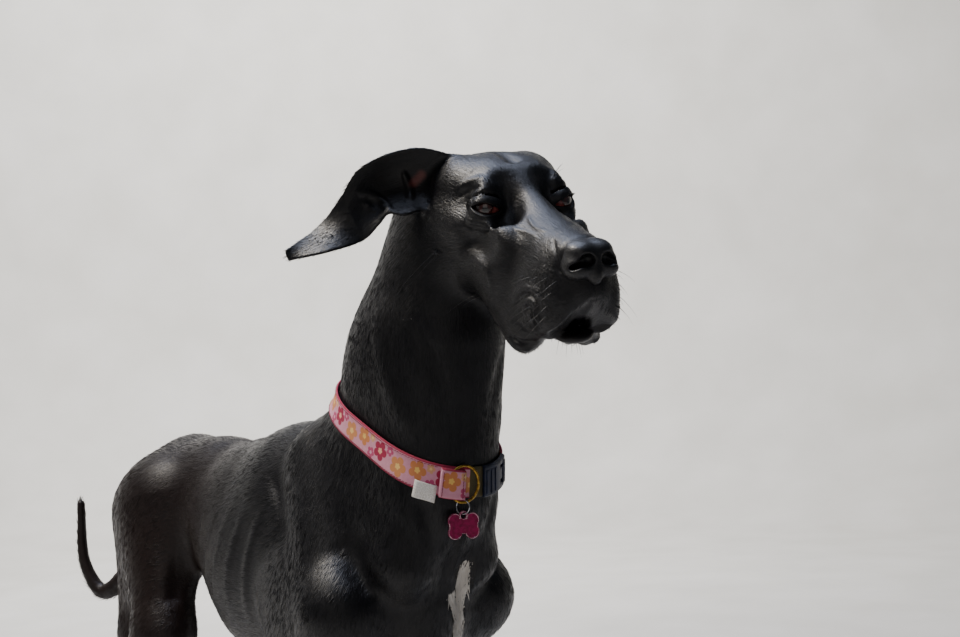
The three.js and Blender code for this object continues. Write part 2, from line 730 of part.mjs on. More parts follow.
// A place on the collar: degrees round the neck from its ring towards her left, millimetres along
// the collar's width, and out from the coat; the ring has slipped a little to her right
const COLLAR_SLIP = -6;
function onCollar(degrees, up, out) {
  const angle = THREE.MathUtils.degToRad(degrees + COLLAR_SLIP);
  const ray = collarAhead.clone().multiplyScalar(Math.cos(angle)).addScaledVector(LEFT, Math.sin(angle));
  const start = collarMiddle.clone().addScaledVector(collarUp, up);
  let near = 40;
  let far = 190;
  for (let i = 0; i < 24; i += 1) {
    const mid = (near + far) / 2;
    const p = start.clone().addScaledVector(ray, mid);
    if (coat(p.x, p.y, p.z) < 0) {
      near = mid;
    } else {
      far = mid;
    }
  }
  return start.addScaledVector(ray, near + out);
}

// A strap on the neck between two angles, from low to high across and from inner to outer, in
// steps of one size so that straps lie face to face
function strap({ from, to, low, high, inner, outer }) {
  const closed = to - from === 360;
  const steps = Math.ceil((to - from) / STEP);
  const rings = closed ? steps : steps + 1;
  const points = [];
  const faces = [];
  for (let i = 0; i < rings; i += 1) {
    const angle = from + ((to - from) * i) / steps;
    points.push(
      onCollar(angle, low, inner),
      onCollar(angle, low, outer),
      onCollar(angle, high, outer),
      onCollar(angle, high, inner),
    );
  }
  for (let i = 0; i < steps; i += 1) {
    const a = i * 4;
    const b = ((i + 1) % rings) * 4;
    for (let k = 0; k < 4; k += 1) {
      const n = (k + 1) % 4;
      faces.push(a + k, b + k, b + n, a + k, b + n, a + n);
    }
  }
  if (!closed) {
    const z = steps * 4;
    faces.push(0, 1, 2, 0, 2, 3, z, z + 2, z + 1, z, z + 3, z + 2);
  }
  return solidOf(shape(points, faces));
}

const half = COLLAR_WIDTH / 2;
const collarEdge = (up) => collarMiddle.clone().addScaledVector(collarUp, up);
const lined = { inner: COLLAR_CLEARANCE, outer: COLLAR_CLEARANCE + COLLAR_THICKNESS };
const STEP = 12;
const BUCKLE = { from: STEP, to: 3 * STEP, thick: 8 };
const LABEL = { from: -2 * STEP, to: -STEP - 1, low: -half - 9, high: -half + 11 };

// The neck within the collar, a closed prism with flat sides that face the straps
function collarCore(low, high, out) {
  const rings = [low, high].map((up) =>
    Array.from({ length: 360 / STEP }, (_, i) => onCollar(i * STEP, up, out)),
  );
  const count = rings[0].length;
  const ends = [low, high].map(collarEdge);
  const faces = rings[0].flatMap((_, i) => {
    const next = (i + 1) % count;
    const side = [i, next, i + count, next, next + count, i + count];
    return [...side, 2 * count, next, i, 2 * count + 1, i + count, next + count];
  });
  return solidOf(shape([...rings.flat(), ...ends], faces));
}

// Trunk, less the room for the legs and the tail
const belowCollar = past(collarEdge(-half), collarUp.clone().negate(), GAP);
let torso = fleshIn(at(-190, -470, 350), at(190, 480, 850), [32, 52, 34], [belowCollar]);
for (const s of Object.values(SIDES)) {
  torso = torso.subtract(inside(foreRegion(s), -GAP / 2)).subtract(inside(hindRegion(s), -GAP / 2));
}
addNode("torso", torso.subtract(inside(tailRegion, -GAP / 2)), FINISHES.coat);

const neckSolid = fleshIn(
  at(-130, 130, 640),
  at(150, 560, 1130),
  [28, 28, 36],
  [past(collarEdge(half), collarUp, GAP)],
)
  .add(collarCore(-half, half, COLLAR_CLEARANCE - GAP))
  .add(collarCore(half - 2, half + 2, -3))
  .subtract(inside(headRegion, -GAP / 2));
const neckGeometry = addNode("neck", neckSolid, FINISHES.coat);

// Head: room for the nose pad and the eyeballs, and the slit between the lids of each eye
const nosePad = skin(noseSkin, ...cornersAround(inHead(0, 163, -42), 44), new THREE.Vector3(11, 11, 11));
const oval = (centre, radii, turn, detail = [10, 6]) => {
  const ball = new THREE.SphereGeometry(1, ...detail);
  return solidOf(ball.applyMatrix4(new THREE.Matrix4().compose(centre, turn, new THREE.Vector3(...radii))));
};
const nostril = (s) => {
  const outward = headTurn.clone().multiply(yawed(s * 28));
  return oval(inHead(3 + s * 13, 187, -34), [7.5, 13, 6], outward).add(
    oval(inHead(3 + s * 21, 179, -38), [8.5, 8, 2.8], headTurn.clone().multiply(rolled(s * 26))),
  );
};
let nosePiece = solidOf(nosePad);
for (const s of Object.values(SIDES)) {
  nosePiece = nosePiece.subtract(nostril(s));
}
addNode("nose", nosePiece, FINISHES.nose);

let headSolid = fleshIn(at(-190, 300, 830), at(190, 790, 1130), [12.5, 12.5, 12], [inside(headRegion)]);
headSolid = headSolid.subtract(grown(nosePad, GAP));
const LID = { width: 31, height: 15, tilt: 8, thick: 2.6 };
for (const [side, s] of Object.entries(SIDES)) {
  const centre = inHead(s * EYE.aside, EYE.ahead, EYE.up);
  const gaze = headTurn.clone().multiply(yawed(s * EYE.outward));
  const slit = new THREE.Shape();
  slit.moveTo(-LID.width / 2, 0);
  slit.quadraticCurveTo(0, LID.height, LID.width / 2, 0);
  slit.quadraticCurveTo(0, -LID.height * 0.8, -LID.width / 2, 0);
  const opening = new THREE.ExtrudeGeometry(slit, { depth: 30, bevelEnabled: false, curveSegments: 8 });
  opening.rotateZ(THREE.MathUtils.degToRad(s * LID.tilt)).rotateX(Math.PI / 2);
  opening.applyMatrix4(new THREE.Matrix4().compose(centre, gaze, new THREE.Vector3(1, 1, 1)));
  const ball = (radius) => oval(centre, Array(3).fill(radius), gaze, [14, 9]);
  const lids = ball(EYE_RADIUS + LID.thick);
  headSolid = headSolid.add(lids).subtract(solidOf(opening)).subtract(ball(EYE_RADIUS + GAP));
  addNode(`eye_${side}`, ball(EYE_RADIUS), FINISHES.eye);
}
const headGeometry = addNode("head", headSolid, FINISHES.coat);

// Ears: the right one is blown out and back with its cup open ahead, the left one lies back and down
const earRoom = grown(headGeometry, GAP).add(grown(neckGeometry, GAP));
const edge = (points) => new THREE.CatmullRomCurve3(points, false, "centripetal");
const EAR_ROOT = inHead(-50, -85, 46);
const WIND = THREE.MathUtils.degToRad(35.3);
const blown = (out, up, behind) =>
  EAR_ROOT.clone().add(
    at(
      -out * Math.cos(WIND) + behind * Math.sin(WIND),
      -out * Math.sin(WIND) - behind * Math.cos(WIND),
      up,
    ),
  );
const behindEar = blown(0, 0, 1).sub(EAR_ROOT);
const rightUpper = [
  [-18, -2, 10],
  [8, 8, 2],
  [37, 15, 0],
  [76, 9, 0],
  [110, -9, 0],
  [129, -36, 8],
  [156, -67, 20],
  [195, -98, 0],
];
const rightLower = [
  [14, -62, 14],
  [38, -56, -2],
  [58, -61, -10],
  [76, -58, -6],
  [88, -70, -2],
  [106, -86, 2],
  [146, -100, -12],
  [192, -107, 0],
];
const rightCup = (t, v) => Math.sin(Math.PI * v) * 24 * Math.sin(Math.PI * Math.min(1, t * 1.25 + 0.1));
const rightEar = leaf(
  edge(rightUpper.map((p) => blown(...p))),
  edge(rightLower.map((p) => blown(...p))),
  rightCup,
  behindEar,
  EAR_THICKNESS,
  14,
  7,
);
addNode("ear_right", solidOf(rightEar).subtract(earRoom), FINISHES.coat);

const leftFront = [
  [40, -84, 30],
  [56, -84, 36],
  [70, -88, 28],
  [81, -98, 6],
  [86, -112, -20],
  [86, -132, -46],
  [84, -164, -72],
];
const leftRear = [
  [34, -122, 22],
  [52, -128, 30],
  [66, -136, 22],
  [76, -150, -2],
  [80, -164, -26],
  [80, -176, -50],
  [80, -182, -76],
];
const leftEar = leaf(
  edge(leftFront.map((p) => inHead(...p))),
  edge(leftRear.map((p) => inHead(...p))),
  (t, v) => Math.sin(Math.PI * v) * 7,
  inHead(1, 0, 0).sub(inHead(0, 0, 0)),
  EAR_THICKNESS,
  12,
  6,
);
addNode("ear_left", solidOf(leftEar).subtract(earRoom), FINISHES.coat);

// Collar
const SEAM = 0.25;
addNode(
  "collar_band",
  strap({ from: BUCKLE.to + SEAM, to: 360 + BUCKLE.from - SEAM, low: -half, high: half, ...lined }),
  FINISHES.webbing,
);
const across = { low: -half, high: half };
addNode(
  "collar_buckle",
  strap({ from: BUCKLE.from, to: BUCKLE.to, ...across, inner: lined.inner, outer: BUCKLE.thick }),
  FINISHES.plastic,
);
addNode(
  "collar_label",
  strap({ ...LABEL, inner: lined.outer + GAP, outer: lined.outer + GAP + 1.6 }),
  FINISHES.label,
);

// The brass ring lies on the band, its right half under a sewn keeper, and carries the tag on a ring
const RING = { angle: 0, drop: 0, radius: 20, wire: 1.7 };
const ringLift = lined.outer + RING.wire + 0.6;
const ringCentre = onCollar(RING.angle, RING.drop, ringLift);
const ringUp = onCollar(RING.angle, 14, 0).sub(onCollar(RING.angle, -14, 0)).normalize();
const ringSide = onCollar(RING.angle + STEP, 0, 0).sub(onCollar(RING.angle - STEP, 0, 0)).normalize();
const ringOut = ringSide.cross(ringUp).normalize();
const ringAside = ringUp.clone().cross(ringOut);
const placed = (geometry, centre, x, y, z) =>
  geometry.applyMatrix4(new THREE.Matrix4().makeBasis(x, y, z).setPosition(centre));
const brassRing = placed(
  new THREE.TorusGeometry(RING.radius, RING.wire, 5, 22).scale(0.94, 1.07, 1),
  ringCentre,
  ringAside,
  ringUp,
  ringOut,
);
addNode("collar_ring", solidOf(brassRing), FINISHES.brass);
const KEEPER = { from: -STEP, to: 0, low: -half + 1, high: half - 1, thick: 5 };
const ringRoom = grown(mergeVertices(bareOf(brassRing), 1e-4), GAP);
const keeper = strap({ ...KEEPER, inner: lined.outer + GAP, outer: lined.outer + KEEPER.thick });
addNode("collar_keeper", keeper.subtract(ringRoom), FINISHES.webbing);

const SPLIT_RING = { radius: 8.5, wire: 1.1, facing: -62 };
const facing = (degrees) => {
  const angle = THREE.MathUtils.degToRad(degrees);
  const out = at(Math.sin(angle), Math.cos(angle), 0);
  return [UP.clone().cross(out), UP.clone(), out];
};
const ringFoot = ringCentre.clone().addScaledVector(ringUp, -RING.radius * 1.07);
const hang = SPLIT_RING.radius - SPLIT_RING.wire - RING.wire - 0.5;
const splitCentre = ringFoot.clone().addScaledVector(DOWN, hang);
const splitTorus = new THREE.TorusGeometry(SPLIT_RING.radius, SPLIT_RING.wire, 5, 18);
const splitRing = placed(splitTorus, splitCentre, ...facing(SPLIT_RING.facing));
addNode("tag_ring", solidOf(splitRing), FINISHES.steel);

const TAG = { knob: 8.2, thick: 1.6, waist: 8, hole: 3.5, facing: -14 };
const tagHole = { y: 12, rim: 5.6 };
function tagShape() {
  const reach = TAG_WIDTH / 2 - TAG.knob;
  const lift = TAG.knob * 0.82;
  const outline = new THREE.Shape();
  const turn = (x, y, from, to) => outline.absarc(x, y, TAG.knob, from, to, false);
  turn(reach, lift, -0.18 * Math.PI, 0.92 * Math.PI);
  outline.lineTo(tagHole.rim, TAG.waist);
  outline.absarc(0, tagHole.y, tagHole.rim, -0.2 * Math.PI, 1.2 * Math.PI, false);
  turn(-reach, lift, 0.08 * Math.PI, 1.18 * Math.PI);
  turn(-reach, -lift, 0.82 * Math.PI, 1.92 * Math.PI);
  turn(reach, -lift, 1.08 * Math.PI, 2.18 * Math.PI);
  const hole = new THREE.Path();
  hole.absarc(0, tagHole.y, TAG.hole, 0, 2 * Math.PI, true);
  outline.holes.push(hole);
  return outline;
}
const plate = { depth: TAG.thick, bevelEnabled: false, curveSegments: 5 };
const tagPlate = new THREE.ExtrudeGeometry(tagShape(), plate);
tagPlate.translate(0, -tagHole.y, -TAG.thick / 2);
const tagDrop = SPLIT_RING.radius + TAG.hole - SPLIT_RING.wire - 0.9;
const tagTop = splitCentre.clone().addScaledVector(DOWN, tagDrop);
addNode("tag", solidOf(placed(tagPlate, tagTop, ...facing(TAG.facing))), FINISHES.tag);

// The origin moves to the middle of the whole dog's box, at the floor
const extent = new THREE.Box3().setFromObject(model);
const middle = extent.getCenter(new THREE.Vector3());
model.position.set(-middle.x, -middle.y, -extent.min.z);

export default model;
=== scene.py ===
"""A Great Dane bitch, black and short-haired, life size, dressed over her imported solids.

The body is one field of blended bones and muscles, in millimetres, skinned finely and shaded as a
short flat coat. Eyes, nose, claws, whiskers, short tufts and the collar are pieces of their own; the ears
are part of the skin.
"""

from __future__ import annotations

import logging
import math
from dataclasses import dataclass, field
from enum import Enum
from typing import Callable, Iterable, Sequence

import bmesh
import bpy
import numpy as np
from bpy.types import Material, Mesh, Node, NodeSocket, NodeTree, Object
from mathutils import Matrix, Vector
from mathutils.bvhtree import BVHTree

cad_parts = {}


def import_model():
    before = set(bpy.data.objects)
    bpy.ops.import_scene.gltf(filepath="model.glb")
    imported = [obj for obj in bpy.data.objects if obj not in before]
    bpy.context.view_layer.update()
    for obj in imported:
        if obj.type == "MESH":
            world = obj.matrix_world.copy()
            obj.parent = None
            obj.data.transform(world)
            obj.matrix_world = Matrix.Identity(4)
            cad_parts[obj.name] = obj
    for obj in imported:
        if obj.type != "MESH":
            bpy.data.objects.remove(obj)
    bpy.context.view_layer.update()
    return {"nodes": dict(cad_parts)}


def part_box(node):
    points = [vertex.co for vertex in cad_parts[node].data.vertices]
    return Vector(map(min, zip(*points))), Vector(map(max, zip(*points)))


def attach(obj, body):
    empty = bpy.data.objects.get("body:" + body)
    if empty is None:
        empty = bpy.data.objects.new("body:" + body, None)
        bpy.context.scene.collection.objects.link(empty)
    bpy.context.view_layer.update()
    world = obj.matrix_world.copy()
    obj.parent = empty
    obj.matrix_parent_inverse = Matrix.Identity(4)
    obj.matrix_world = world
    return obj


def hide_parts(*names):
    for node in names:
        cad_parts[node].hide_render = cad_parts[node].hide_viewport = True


LOG = logging.getLogger("great_dane")
SEED = 41

MM = 0.001
COAT_DEPTH = 1.6
EYE_RADIUS = 15.0
EYE_PLACE = (43.0, 0.0, 1.0)
EYE_OUTWARD = 30.0
LID_TILT = 8.0
COLLAR_WIDTH = 34.0
COLLAR_THICKNESS = 3.0
COLLAR_CLEARANCE = 0.4
COLLAR_SLIP = -6.0
STRAP_END = 19.0

IMAGE_WIDTH = 960
FOCAL_PIXELS = 1475.0
SENSOR_WIDTH = 36.0


class Side(Enum):
    """The dog's own sides, with the sign of their X."""

    RIGHT = -1
    LEFT = 1


SIDES = (Side.RIGHT.value, Side.LEFT.value)


def srgb(code: str) -> tuple[float, float, float, float]:
    """Linear colour from a hex code.

    Args:
        code: six hex digits, with or without a leading #.

    Returns:
        Red, green, blue and alpha.
    """
    digits = code.lstrip("#")
    parts = (int(digits[i : i + 2], 16) / 255 for i in (0, 2, 4))
    linear = [c / 12.92 if c <= 0.04045 else ((c + 0.055) / 1.055) ** 2.4 for c in parts]
    return (*linear, 1.0)


def at(left: float, ahead: float, up: float) -> np.ndarray:
    """A place on the dog in millimetres, as X, Y and Z."""
    return np.array([left, -ahead, up], float)


def turn_about(axis: str, degrees: float) -> np.ndarray:
    """A rotation about one axis as a 3 by 3 matrix."""
    return np.array(Matrix.Rotation(math.radians(degrees), 3, axis))


def unit(v: np.ndarray) -> np.ndarray:
    """Vectors scaled to a length of one, along the last axis."""
    return v / (np.linalg.norm(v, axis=-1, keepdims=True) + 1e-12)


def smooth_step(x: np.ndarray) -> np.ndarray:
    """An eased ramp from 0 to 1."""
    t = np.clip(x, 0, 1)
    return t * t * (3 - 2 * t)


HEAD_PLACE = at(13, 556, 1016)
HEAD_TURN = turn_about("Z", -13.5) @ turn_about("X", 13.5) @ turn_about("Y", -5.6)


def in_head(left: float, ahead: float, up: float) -> np.ndarray:
    """A place given in the head's own frame, as X, Y and Z of the dog."""
    return HEAD_TURN @ at(left, ahead, up) + HEAD_PLACE


def eye_centre(s: int) -> np.ndarray:
    """The middle of one side's eyeball."""
    return in_head(s * EYE_PLACE[0], EYE_PLACE[1], EYE_PLACE[2])


def lid_axes(s: int) -> np.ndarray:
    """The axes of the gap between one eye's lids: across it, into the head and up."""
    return HEAD_TURN @ turn_about("Z", s * EYE_OUTWARD) @ turn_about("Y", -s * LID_TILT)


@dataclass(frozen=True)
class Bone:
    """A bone or long muscle from a to b; wide is its width over its depth."""

    a: np.ndarray
    radius_a: float
    b: np.ndarray
    radius_b: float
    blend: float
    wide: float = 1.0

    @property
    def centre(self) -> np.ndarray:
        """The middle of the bone."""
        return (self.a + self.b) / 2

    @property
    def reach(self) -> float:
        """How far its surface can be from its middle."""
        most = max(self.radius_a, self.radius_b) * max(1.0, self.wide)
        return float(np.linalg.norm(self.b - self.a)) / 2 + most

    def distance(self, points: np.ndarray) -> np.ndarray:
        """Signed distances of points from its surface."""
        shrink = np.array([1 / self.wide, 1, 1])
        axis = (self.b - self.a) * shrink
        d = (points - self.a) * shrink
        t = np.clip(d @ axis / (axis @ axis), 0, 1)
        away = d - t[:, None] * axis
        off = np.linalg.norm(away, axis=1) + 1e-9
        slope = (np.linalg.norm(away * shrink, axis=1) + 1e-9) / off
        return (off - self.radius_a - (self.radius_b - self.radius_a) * t) / slope


@dataclass(frozen=True)
class Lobe:
    """An oval muscle or pad with three half sizes, turned by a rotation."""

    centre: np.ndarray
    radii: tuple[float, float, float]
    blend: float
    turn: np.ndarray = field(default_factory=lambda: np.eye(3))

    @property
    def reach(self) -> float:
        """How far its surface can be from its middle."""
        return max(self.radii)

    def distance(self, points: np.ndarray) -> np.ndarray:
        """Signed distances of points from its surface."""
        local = (points - self.centre) @ self.turn
        radii = np.array(self.radii)
        near = np.linalg.norm(local / radii, axis=1) + 1e-9
        slope = np.linalg.norm(local / radii**2, axis=1) + 1e-9
        return near * (near - 1) / slope


Form = Bone | Lobe
Range = tuple[float, float]
Place = tuple[float, float, float]


def head_bone(
    a: Place, radius_a: float, b: Place, radius_b: float, blend: float, wide: float = 1.0
) -> Bone:
    """A bone placed in the head's frame."""
    return Bone(in_head(*a), radius_a, in_head(*b), radius_b, blend, wide)


def head_lobe(centre: Place, radii: Place, blend: float, tip: float = 0.0, yaw: float = 0.0) -> Lobe:
    """A lobe placed in the head's frame, tipped about its cross axis and turned about its upright."""
    return Lobe(in_head(*centre), radii, blend, HEAD_TURN @ turn_about("Z", yaw) @ turn_about("X", tip))


def both(make: Callable[[int], Iterable[Form]]) -> list[Form]:
    """The forms of both sides."""
    return [form for side in SIDES for form in make(side)]


def smooth_min(a: np.ndarray, b: np.ndarray, k: float) -> np.ndarray:
    """The lower of two distances, rounded where they are near each other."""
    h = np.maximum(k - np.abs(a - b), 0) / k
    return np.minimum(a, b) - h * h * k * 0.25


@dataclass(frozen=True)
class Almond:
    """The gap between an eye's lids, an almond that runs outwards from the eye."""

    centre: np.ndarray
    axes: np.ndarray
    half_width: float
    above: float
    below: float
    depth: float
    blend: float

    @property
    def reach(self) -> float:
        """How far its edge can be from its middle."""
        return self.depth + self.half_width

    def edge(self, x: np.ndarray) -> tuple[np.ndarray, np.ndarray]:
        """How high its upper and lower edges are at places across it."""
        bow = 1 - (x / self.half_width) ** 2
        return self.above * bow, -self.below * bow

    def distance(self, points: np.ndarray) -> np.ndarray:
        """Signed distances of points from the gap's walls."""
        local = (points - self.centre) @ self.axes
        top, bottom = self.edge(local[:, 0])
        wall = np.maximum(local[:, 2] - top, bottom - local[:, 2])
        return np.maximum(wall * 0.8, local[:, 1] + 4)


class Field:
    """A signed distance from forms that are blended, then hollowed, then filled again."""

    SPAN = 48.0
    MARGIN = 14.0

    def __init__(self, forms: Sequence[Form], carved: Sequence[Form] = (), filled: Sequence[Form] = ()):
        self.forms = list(forms)
        self.carved = list(carved)
        self.filled = list(filled)
        self.cut: list[Form] = []
        self.raised: list[Ridge] = []
        self.centres = np.array([f.centre for f in self.forms])
        self.reaches = np.array([f.reach for f in self.forms])
        self.blends = np.array([f.blend for f in self.forms])

    def block(self, points: np.ndarray, skip: float = np.inf) -> np.ndarray:
        """Distances of points that lie close together.

        Args:
            points: places, N by 3.
            skip: a block that lies further out than this gets that lower bound only.
        """
        low, high = points.min(0), points.max(0)
        middle = (low + high) / 2
        radius = float(np.linalg.norm(high - low)) / 2
        gaps = np.linalg.norm(self.centres - middle, axis=1) - self.reaches - radius
        if gaps.min() > skip:
            return np.full(len(points), gaps.min())
        least = np.full(len(points), 1e6)
        nearest = int(np.argmin(gaps))
        most = float(self.forms[nearest].distance(points).max())
        for i in np.flatnonzero(gaps < most + self.blends + self.MARGIN):
            form = self.forms[i]
            least = smooth_min(least, form.distance(points), form.blend)
        for form in self.carved:
            if np.linalg.norm(form.centre - middle) - form.reach - radius < form.blend * 2:
                least = -smooth_min(-least, form.distance(points), form.blend)
        for form in self.filled:
            if np.linalg.norm(form.centre - middle) - form.reach - radius < most + form.blend:
                least = smooth_min(least, form.distance(points), form.blend)
        for ridge in self.raised:
            if np.linalg.norm(ridge.centre - middle) < ridge.reach + radius:
                least = least - ridge.amount(points)
        for form in self.cut:
            if np.linalg.norm(form.centre - middle) - form.reach - radius < form.blend * 2:
                least = -smooth_min(-least, form.distance(points), form.blend)
        return least

    def value(self, points: np.ndarray) -> np.ndarray:
        """Distances of any points, worked out block by block."""
        cell = np.floor(points / self.SPAN).astype(np.int64)
        code = (cell[:, 0] * 4099 + cell[:, 1]) * 4099 + cell[:, 2]
        order = np.argsort(code, kind="stable")
        edges = np.flatnonzero(np.diff(code[order])) + 1
        result = np.empty(len(points))
        for index in np.split(order, edges):
            result[index] = self.block(points[index])
        return result

    def slope(self, points: np.ndarray, step: float = 0.8) -> np.ndarray:
        """The field's gradient at points."""
        shifts = np.concatenate([np.eye(3), -np.eye(3)]) * step
        spread = (points[:, None, :] + shifts[None]).reshape(-1, 3)
        values = self.value(spread).reshape(-1, 6)
        return (values[:, :3] - values[:, 3:]) / (2 * step)


@dataclass
class Surface:
    """Points and faces with one outward normal a point, in millimetres."""

    points: np.ndarray
    faces: np.ndarray
    normals: np.ndarray | None = None


def graded(low: float, high: float, coarse: float, fine: Sequence[tuple] = ()) -> np.ndarray:
    """Grid lines from low to high, spaced coarse apart, and finer within given stretches.

    Args:
        fine: stretches as (from, to, spacing); spacing eases off over 30 mm beside each.
    """
    lines = [low]
    while lines[-1] < high:
        x = lines[-1]
        gap = coarse
        for start, stop, spacing in fine:
            away = max(start - x, x - stop, 0.0)
            gap = min(gap, spacing + (coarse - spacing) * min(away / 30.0, 1.0))
        lines.append(x + gap)
    return np.array(lines)


class Skinner:
    """Turns a field into a closed surface on a grid whose lines may be unevenly spaced."""

    BLOCK = 14

    def __init__(self, shape: Field, axes: Sequence[np.ndarray], inset: float = COAT_DEPTH):
        self.shape = shape
        self.axes = list(axes)
        self.inset = inset

    def grid(self) -> np.ndarray:
        """The field's values at every grid point."""
        sizes = [len(a) for a in self.axes]
        values = np.empty(sizes)
        reach = 1.8 * max(float(np.diff(a).max()) for a in self.axes) + 2 * self.inset
        starts = [range(0, n, self.BLOCK) for n in sizes]
        for i in starts[0]:
            for j in starts[1]:
                for k in starts[2]:
                    part = tuple(slice(s, s + self.BLOCK) for s in (i, j, k))
                    mesh = np.meshgrid(*(a[s] for a, s in zip(self.axes, part)), indexing="ij")
                    points = np.stack([m.ravel() for m in mesh], 1)
                    values[part] = self.shape.block(points, reach).reshape(mesh[0].shape)
        return values + self.inset

    def surface(self, settle: bool = True) -> Surface:
        """The skinned surface, its points moved onto the field where settle is set."""
        values = self.grid()
        inside = values < 0
        core = tuple(slice(0, n - 1) for n in values.shape)
        corners = np.zeros(tuple(n - 1 for n in values.shape), np.int8)
        for c in range(8):
            offset = [(c >> axis) & 1 for axis in range(3)]
            corners += inside[tuple(slice(o, o + s.stop) for o, s in zip(offset, core))]
        cells = np.argwhere((corners > 0) & (corners < 8))
        number = np.full(corners.shape, -1, np.int64)
        number[tuple(cells.T)] = np.arange(len(cells))
        total = np.zeros((len(cells), 3))
        count = np.zeros(len(cells))
        for axis in range(3):
            u, v = (axis + 1) % 3, (axis + 2) % 3
            for du in (0, 1):
                for dv in (0, 1):
                    a = cells.copy()
                    a[:, u] += du
                    a[:, v] += dv
                    b = a.copy()
                    b[:, axis] += 1
                    va, vb = values[tuple(a.T)], values[tuple(b.T)]
                    crossed = (va < 0) != (vb < 0)
                    t = np.where(crossed, va / np.where(crossed, va - vb, 1), 0)[:, None]
                    pa = np.stack([self.axes[i][a[:, i]] for i in range(3)], 1)
                    pb = np.stack([self.axes[i][b[:, i]] for i in range(3)], 1)
                    total[crossed] += (pa + (pb - pa) * t)[crossed]
                    count += crossed
        points = total / count[:, None]
        quads = []
        for axis in range(3):
            u, v = (axis + 1) % 3, (axis + 2) % 3
            low = [slice(1, n - 1) for n in values.shape]
            low[axis] = slice(0, values.shape[axis] - 1)
            high = list(low)
            high[axis] = slice(1, values.shape[axis])
            changed = inside[tuple(low)] != inside[tuple(high)]
            start = np.argwhere(changed) + [s.start for s in low]
            ring = []
            for du, dv in ((0, 0), (1, 0), (1, 1), (0, 1)):
                cell = start.copy()
                cell[:, u] -= du
                cell[:, v] -= dv
                ring.append(number[tuple(cell.T)])
            quad = np.stack(ring, 1)
            outward = inside[tuple(start.T)]
            quad[~outward] = quad[~outward][:, ::-1]
            quads.append(quad)
        faces = np.concatenate(quads)
        normals = None
        if settle:
            for _ in range(2):
                slope = self.shape.slope(points)
                steep = np.maximum((slope**2).sum(1), 0.2)
                move = -(self.shape.value(points) + self.inset)[:, None] * slope / steep[:, None]
                length = np.linalg.norm(move, axis=1, keepdims=True)
                points = points + move * np.minimum(1, 1.2 / (length + 1e-9))
            normals = unit(self.shape.slope(points))
        return Surface(points, faces, normals)


def joints(s: int) -> dict[str, np.ndarray]:
    """Joints and landmarks of one side."""
    return {
        "withers": at(s * 54, 190, 728),
        "shoulder": at(s * 98, 306, 548),
        "elbow": at(s * 99, 203, 446),
        "forearm": at(s * 96, 212, 310),
        "wrist": at(s * 93, 222, 184),
        "fore_fetlock": at(s * 93, 244, 76),
        "hip": at(s * 76, -276, 632),
        "seat": at(s * 70, -352, 632),
        "knee": at(s * 106, -208, 462),
        "calf": at(s * 102, -318, 430),
        "hock": at(s * 104, -430, 240),
        "heel": at(s * 104, -457, 262),
        "hind_fetlock": at(s * 103, -408, 76),
    }


def trunk_forms() -> list[Form]:
    """Ribs, forechest, back, belly and croup."""
    return [
        Lobe(at(0, 92, 588), (114, 236, 160), 1, turn_about("X", 5)),
        Lobe(at(0, 280, 574), (92, 108, 122), 60),
        Bone(at(0, 226, 728), 58, at(0, 70, 696), 62, 56, 0.85),
        Bone(at(0, 70, 672), 80, at(0, -60, 660), 76, 50),
        Bone(at(0, -60, 660), 76, at(0, -190, 662), 75, 40),
        Bone(at(0, 0, 562), 108, at(0, -185, 626), 70, 60),
        Bone(at(0, -190, 662), 76, at(0, -306, 674), 78, 44),
    ]


def neck_forms() -> list[Form]:
    """The neck, deeper than wide, and the throat in front of it."""
    return [
        Bone(at(0, 266, 690), 110, at(0, 346, 850), 93, 60, 0.77),
        Bone(at(0, 346, 850), 93, at(14, 414, 990), 91, 40, 0.8),
        Bone(at(4, 374, 690), 74, at(8, 412, 870), 58, 40, 1.05),
    ]


def foreleg_forms(s: int) -> list[Form]:
    """Shoulder blade, upper arm, forearm, wrist and cannon of one side."""
    j = joints(s)
    return [
        Bone(j["withers"], 34, j["shoulder"], 46, 50),
        Bone(at(s * 29, 386, 650), 38, at(s * 42, 371, 610), 44, 22),
        Bone(j["shoulder"], 50, j["elbow"], 43, 34, 0.9),
        Lobe(at(s * 96, 208, 526), (37, 80, 90), 34),
        Bone(j["elbow"], 41, j["forearm"], 29, 24, 0.92),
        Bone(at(s * 97, 166, 462), 15, j["elbow"], 26, 16),
        Bone(j["forearm"], 29, j["wrist"], 22, 16),
        Lobe(at(s * 93, 224, 180), (26, 27, 30), 14),
        Bone(at(s * 92, 200, 174), 10, j["wrist"], 14, 10),
        Bone(j["wrist"], 21, j["fore_fetlock"], 22, 14, 1.1),
    ]


def hindleg_forms(s: int) -> list[Form]:
    """Thigh, gaskin, hock and cannon of one side."""
    j = joints(s)
    return [
        Bone(j["hip"], 90, j["knee"], 54, 46, 0.74),
        Bone(j["seat"], 58, at(s * 98, -318, 476), 40, 40, 0.78),
        Lobe(at(s * 107, -202, 455), (36, 42, 46), 30),
        Bone(j["knee"], 46, at(s * 104, -410, 272), 25, 30, 0.82),
        Bone(j["calf"], 38, at(s * 103, -404, 320), 17, 26, 0.8),
        Bone(at(s * 103, -392, 350), 14, j["heel"], 11, 16),
        Lobe(j["hock"], (21, 30, 34), 14),
        Bone(j["heel"], 12, at(s * 104, -446, 214), 14, 10),
        Bone(j["hock"], 22, j["hind_fetlock"], 20, 14, 1.05),
    ]


